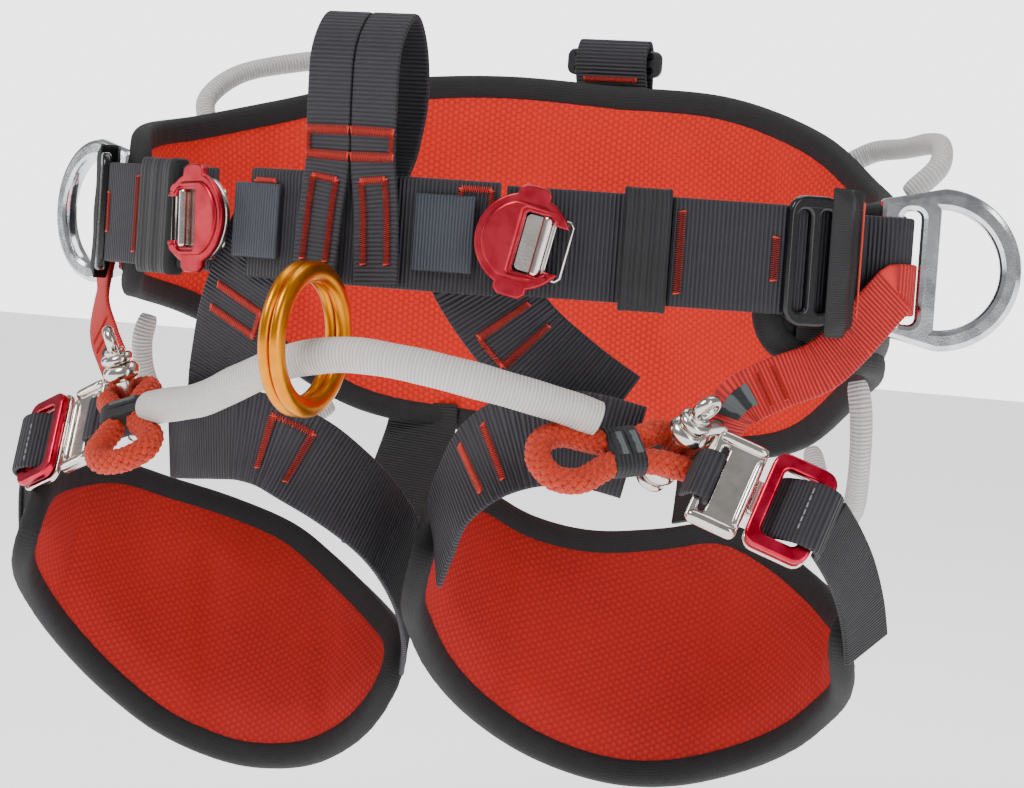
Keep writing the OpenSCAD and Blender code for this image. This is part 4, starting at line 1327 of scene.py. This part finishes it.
# ---------------------------------------------------------------- leg straps and buckles
# Each inner leg strap's route, and the way its face looks at each point
LEG_STRAP = {
    "left": ([
        (-116, -83, -97), (-98, -97, -95), (-80, -106, -93), (-62, -111, -92), (-44, -110, -96),
        (-25, -98, -108), (-12, -76, -126), (-12, -46, -148), (-22, -18, -170), (-35, 2, -187)], [
        (0, -1, 0), (0, -1, 0), (0, -1, 0), (0, -1, 0), (0.2, -1, 0),
        (0.7, -0.8, 0.3), (1, -0.2, 0.1), (1, 0, 0), (1, 0.2, 0), (0.9, 0.4, 0)]),
    "right": ([
        (112, -92, -84), (92, -101, -80), (70, -107, -82), (52, -108, -91), (38, -105, -106),
        (29, -98, -122), (24, -90, -138)], [
        (0, -1, 0), (0, -1, 0), (0, -1, 0), (-0.2, -1, 0.2), (-0.4, -0.9, 0.4),
        (-0.6, -0.8, 0.2), (-0.8, -0.5, 0)])}
OUTER_STRAP = {
    "left": [(-200, -68, -116), (-203, -64, -127), (-205, -60, -140), (-206, -56, -154), (-207, -52, -168)],
    "right": [(195, -80, -108), (198, -69, -118), (200, -57, -130), (201, -46, -145), (201, -38, -160)]}


def leg_straps():
    """Inner and outer leg straps, and the elastics that join the waist pad to the leg pads behind."""
    for side, (route, faces) in LEG_STRAP.items():
        strap = Strap(route, faces, RISER_W, WEB_T)
        strap_piece(f"leg_strap_webbing_{side}", strap, "belt_webbing", f"leg_{side}", f"leg_strap_{side}")
        if side == "left":
            top = int(np.argmax(strap.p[:, 0]))
            near = [float(np.interp(x, strap.p[:top, 0], strap.s[:top])) for x in (-51, -37)]
            lines = [tack(strap, (s, -12), (s, 12), 2.8) for s in near]
            lines.append(tack(strap, (near[0], -12), (near[1], -12), 2.4))
        else:
            near = [float(np.interp(-x, -strap.p[:, 0], strap.s)) for x in (56, 46)]
            lines = [tack(strap, (s, -13), (s, 13), 2.8) for s in near]
        sewn(f"leg_strap_tacks_{side}", lines, f"leg_{side}")
        sign = SIDES[side]
        line = OUTER_STRAP[side]
        outer = Strap(line, same(line, (sign, -0.35, 0)), 29, WEB_T)
        strap_piece(f"leg_outer_webbing_{side}", outer, "black_webbing", f"leg_{side}",
                    f"leg_outer_strap_{side}", rib=1.2, rib_h=0.08)
        x, low = (72, (78, 86, -124)) if sign > 0 else (-86, (-90, 72, -156))
        mid = ((low[0] + x) / 2, (low[1] + 100) / 2 + 3, (low[2] - 100) / 2)
        line = [(x, 106, -84), (x, 105, -98), mid, low]
        stretch = Strap(line, same(line, (0, 1, 0)), 38, 2.0)
        elastic = strap_piece(f"rear_elastic_webbing_{side}", stretch, "elastic", None,
                              f"rear_elastic_{side}", rib=1.4, rib_h=0.12)
        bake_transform(elastic)


# Short webbings on the leg buckles: place and the way the face looks, both in the buckle's own X and Y
FRAME_LOOP = [
    (-6.5, 4.4, 0.25, -1), (-5.5, 1.8, 0.25, -1), (-2.2, -2.4, 0.25, -1), (1.8, -6.0, 0.25, -1),
    (5.8, -8.8, 0.25, -1), (10.5, -9.6, 0.25, -1), (14.6, -8.4, 0.25, -1), (17.2, -4.6, 1, -0.3),
    (17.6, -0.4, 1, -0.3)]
PLATE_TIE = [
    (-5.4, 2.6, -1, 0.2), (-5.6, -1.0, -0.9, -0.3), (-6.6, -4.0, -0.5, -0.9), (-9.4, -4.9, 0, -1),
    (-12.4, -3.6, -0.5, -0.9), (-14.2, 0.4, -0.9, -0.3), (-15.4, 5.0, -1, 0)]


def carried_strap(place, rows, width):
    """A short strap drawn in a buckle's own X and Y."""
    line = np.array([place @ Vector((x, y, 0)) for x, y, _, _ in rows])
    away = np.array([place.to_3x3() @ Vector((x, y, 0)) for _, _, x, y in rows])
    return Strap(line, away, width, WEB_T)


def leg_buckles():
    """Steel hook plates on the leg loops, and the crimson frames on their links."""
    for side in SIDES:
        body, link = f"leg_{side}", f"leg_link_{side}"
        place = at_link(side, PLATE) @ turned(90)
        plate(f"leg_hook_plate_{side}", [rounded(22, 42, 3), rounded(3.4, 30, 1.6, (-6, 0))], 2.5, 0.7, place,
              "stainless", body, f"leg_plate_{side}", facets=3)
        rolls = []
        for y, z, r in ((-18.2, 2.6, 2.6), (18.6, 2.2, 2.5)):
            x = np.linspace(-10.4, 10.4, 30)
            fat = r * np.sqrt(np.clip(1 - (np.abs(x) / 10.8) ** 8, 0.05, 1))
            rolls.append(pipe(np.stack([x, 0 * x + y, 0 * x + z], axis=1), fat, 18))
        y = np.linspace(-15.5, 15.5, 30)
        slim = 1.9 * np.sqrt(np.clip(1 - (np.abs(y) / 16) ** 8, 0.05, 1))
        rolls.append(pipe(np.stack([0 * y + 9.2, y, 0 * y + 2.5], axis=1), slim, 16))
        points, faces, uv = merge(rolls)
        piece(f"leg_hook_plate_rolls_{side}", points, faces, "stainless", body, uv, place=place)

        front = at_link(side, FRAME) @ Matrix.Translation((0, -3.2, 0)) @ turned(90)
        plate(f"leg_frame_anodised_{side}", [rounded(28, 42, 6), rounded(16, 30, 3)], 4.2, 1.3, front,
              "crimson_anodised", link, f"leg_frame_{side}", facets=3)
        under = at_link(side, FRAME) @ turned(90)
        plate(f"leg_under_frame_{side}", [rounded(27, 44, 5), rounded(17, 31, 2)], 2.6, 0.7, under,
              "stainless", link, f"leg_underplate_{side}", facets=2)
        lower = under @ Matrix.Translation((0, 0, -3.6))
        plate(f"leg_under_tab_{side}", [rounded(11, 16, 3, (-18, 0))], 2.4, 0.8, lower, "stainless", link)
        plate(f"leg_under_step_{side}", [rounded(2.8, 14, 0.9, (-14.6, 0))], 4.8, 0.5, lower, "stainless",
              link)

        loop = carried_strap(at_link(side, FRAME), FRAME_LOOP, 28)
        strap_piece(f"leg_frame_webbing_{side}", loop, "belt_webbing", link)
        half = loop.length * 0.5
        sewn(f"leg_frame_stitches_{side}", dashes(loop, (half, -11), (half, 11)), link, 0.4, "grey_thread")
        tie = carried_strap(at_link(side, PLATE), PLATE_TIE, 21)
        strap_piece(f"leg_plate_tie_{side}", tie, "belt_webbing", body)


# ---------------------------------------------------------------- gear loops and rear strap
GEAR = {
    "rear_left": [
        (-112, 104, 66), (-124, 112, 80), (-146, 108, 84), (-168, 92, 80), (-184, 70, 72), (-190, 52, 58),
        (-182, 44, 44)],
    "rear_right": [
        (128, 95, 44), (142, 98, 52), (160, 88, 54), (178, 68, 56), (190, 48, 54), (194, 32, 44),
        (184, 24, 32)],
    "low_left": [
        (-178, -8, -48), (-181, -8, -62), (-180, -2, -80), (-174, 12, -94), (-162, 36, -102),
        (-148, 58, -102), (-136, 76, -96), (-127, 86, -88)],
    "low_right": [
        (178, -8, -50), (181, -8, -64), (180, -2, -86), (174, 12, -106), (161, 36, -114), (147, 58, -111),
        (135, 76, -100), (127, 86, -88)]}


def gear_loops():
    """Sheathed tubes with pinched ends; the low ones are on bodies of their own."""
    for name, route in GEAR.items():
        line = even(catmull(route, 8), 0.45)
        s = lengths(line)
        radius = 4.8 + 0.06 * np.cos(2 * np.pi * s / 1.7) + 0.12 * np.sin(s / 8.0)
        radius *= 1 - 0.25 * np.exp(-np.minimum(s, s[-1] - s) / 2.0)
        points, faces, uv = pipe(line, radius, 24)
        body = "belt" if name.startswith("rear") else f"gear_loop_{name[4:]}"
        piece(f"gear_loop_tube_{name}", points, faces, "loop_sheath", body, uv, f"gear_loop_{name}")


def rear_adjuster():
    """The top strap behind, doubled through a moulded slider; the path gives depth and height."""
    x = -6
    path = [(132.4, 30), (132.4, 62), (130, 76), (126.5, 86), (126.5, 94), (131, 100.5), (135.5, 94),
            (136, 84), (137, 66), (137, 40)]
    line = catmull([(x, y, z) for y, z in path], 8)
    strap = Strap(line, np.cross((1, 0, 0), directions(line)), 38, 2.0, steps=1)
    strap_piece("rear_strap_webbing", strap, "belt_webbing", "belt", "rear_strap")
    s = height_on(strap, 82, int(np.argmax(strap.p[:, 2])))
    sewn("rear_strap_tack", [tack(strap, (s, -14), (s, 14), 2.4)], "belt")
    place = Matrix.Translation((x, 131, 90)) @ turned(-90) @ Matrix.Translation((0, 0, -1.6))
    slots = [rounded(41, 2.8, 1.2, (0, y)) for y in (-3.4, 3.4)]
    plate("rear_slider_moulded", [rounded(50, 13, 4)] + slots, 3.2, 0.8, place, "black_plastic", "belt",
          "rear_slider", facets=3)


belt_webbings()
front_loop()
risers()
buckles()
d_rings()
slings()
shackles()
bridge()
double_ring()
leg_straps()
leg_buckles()
gear_loops()
rear_adjuster()
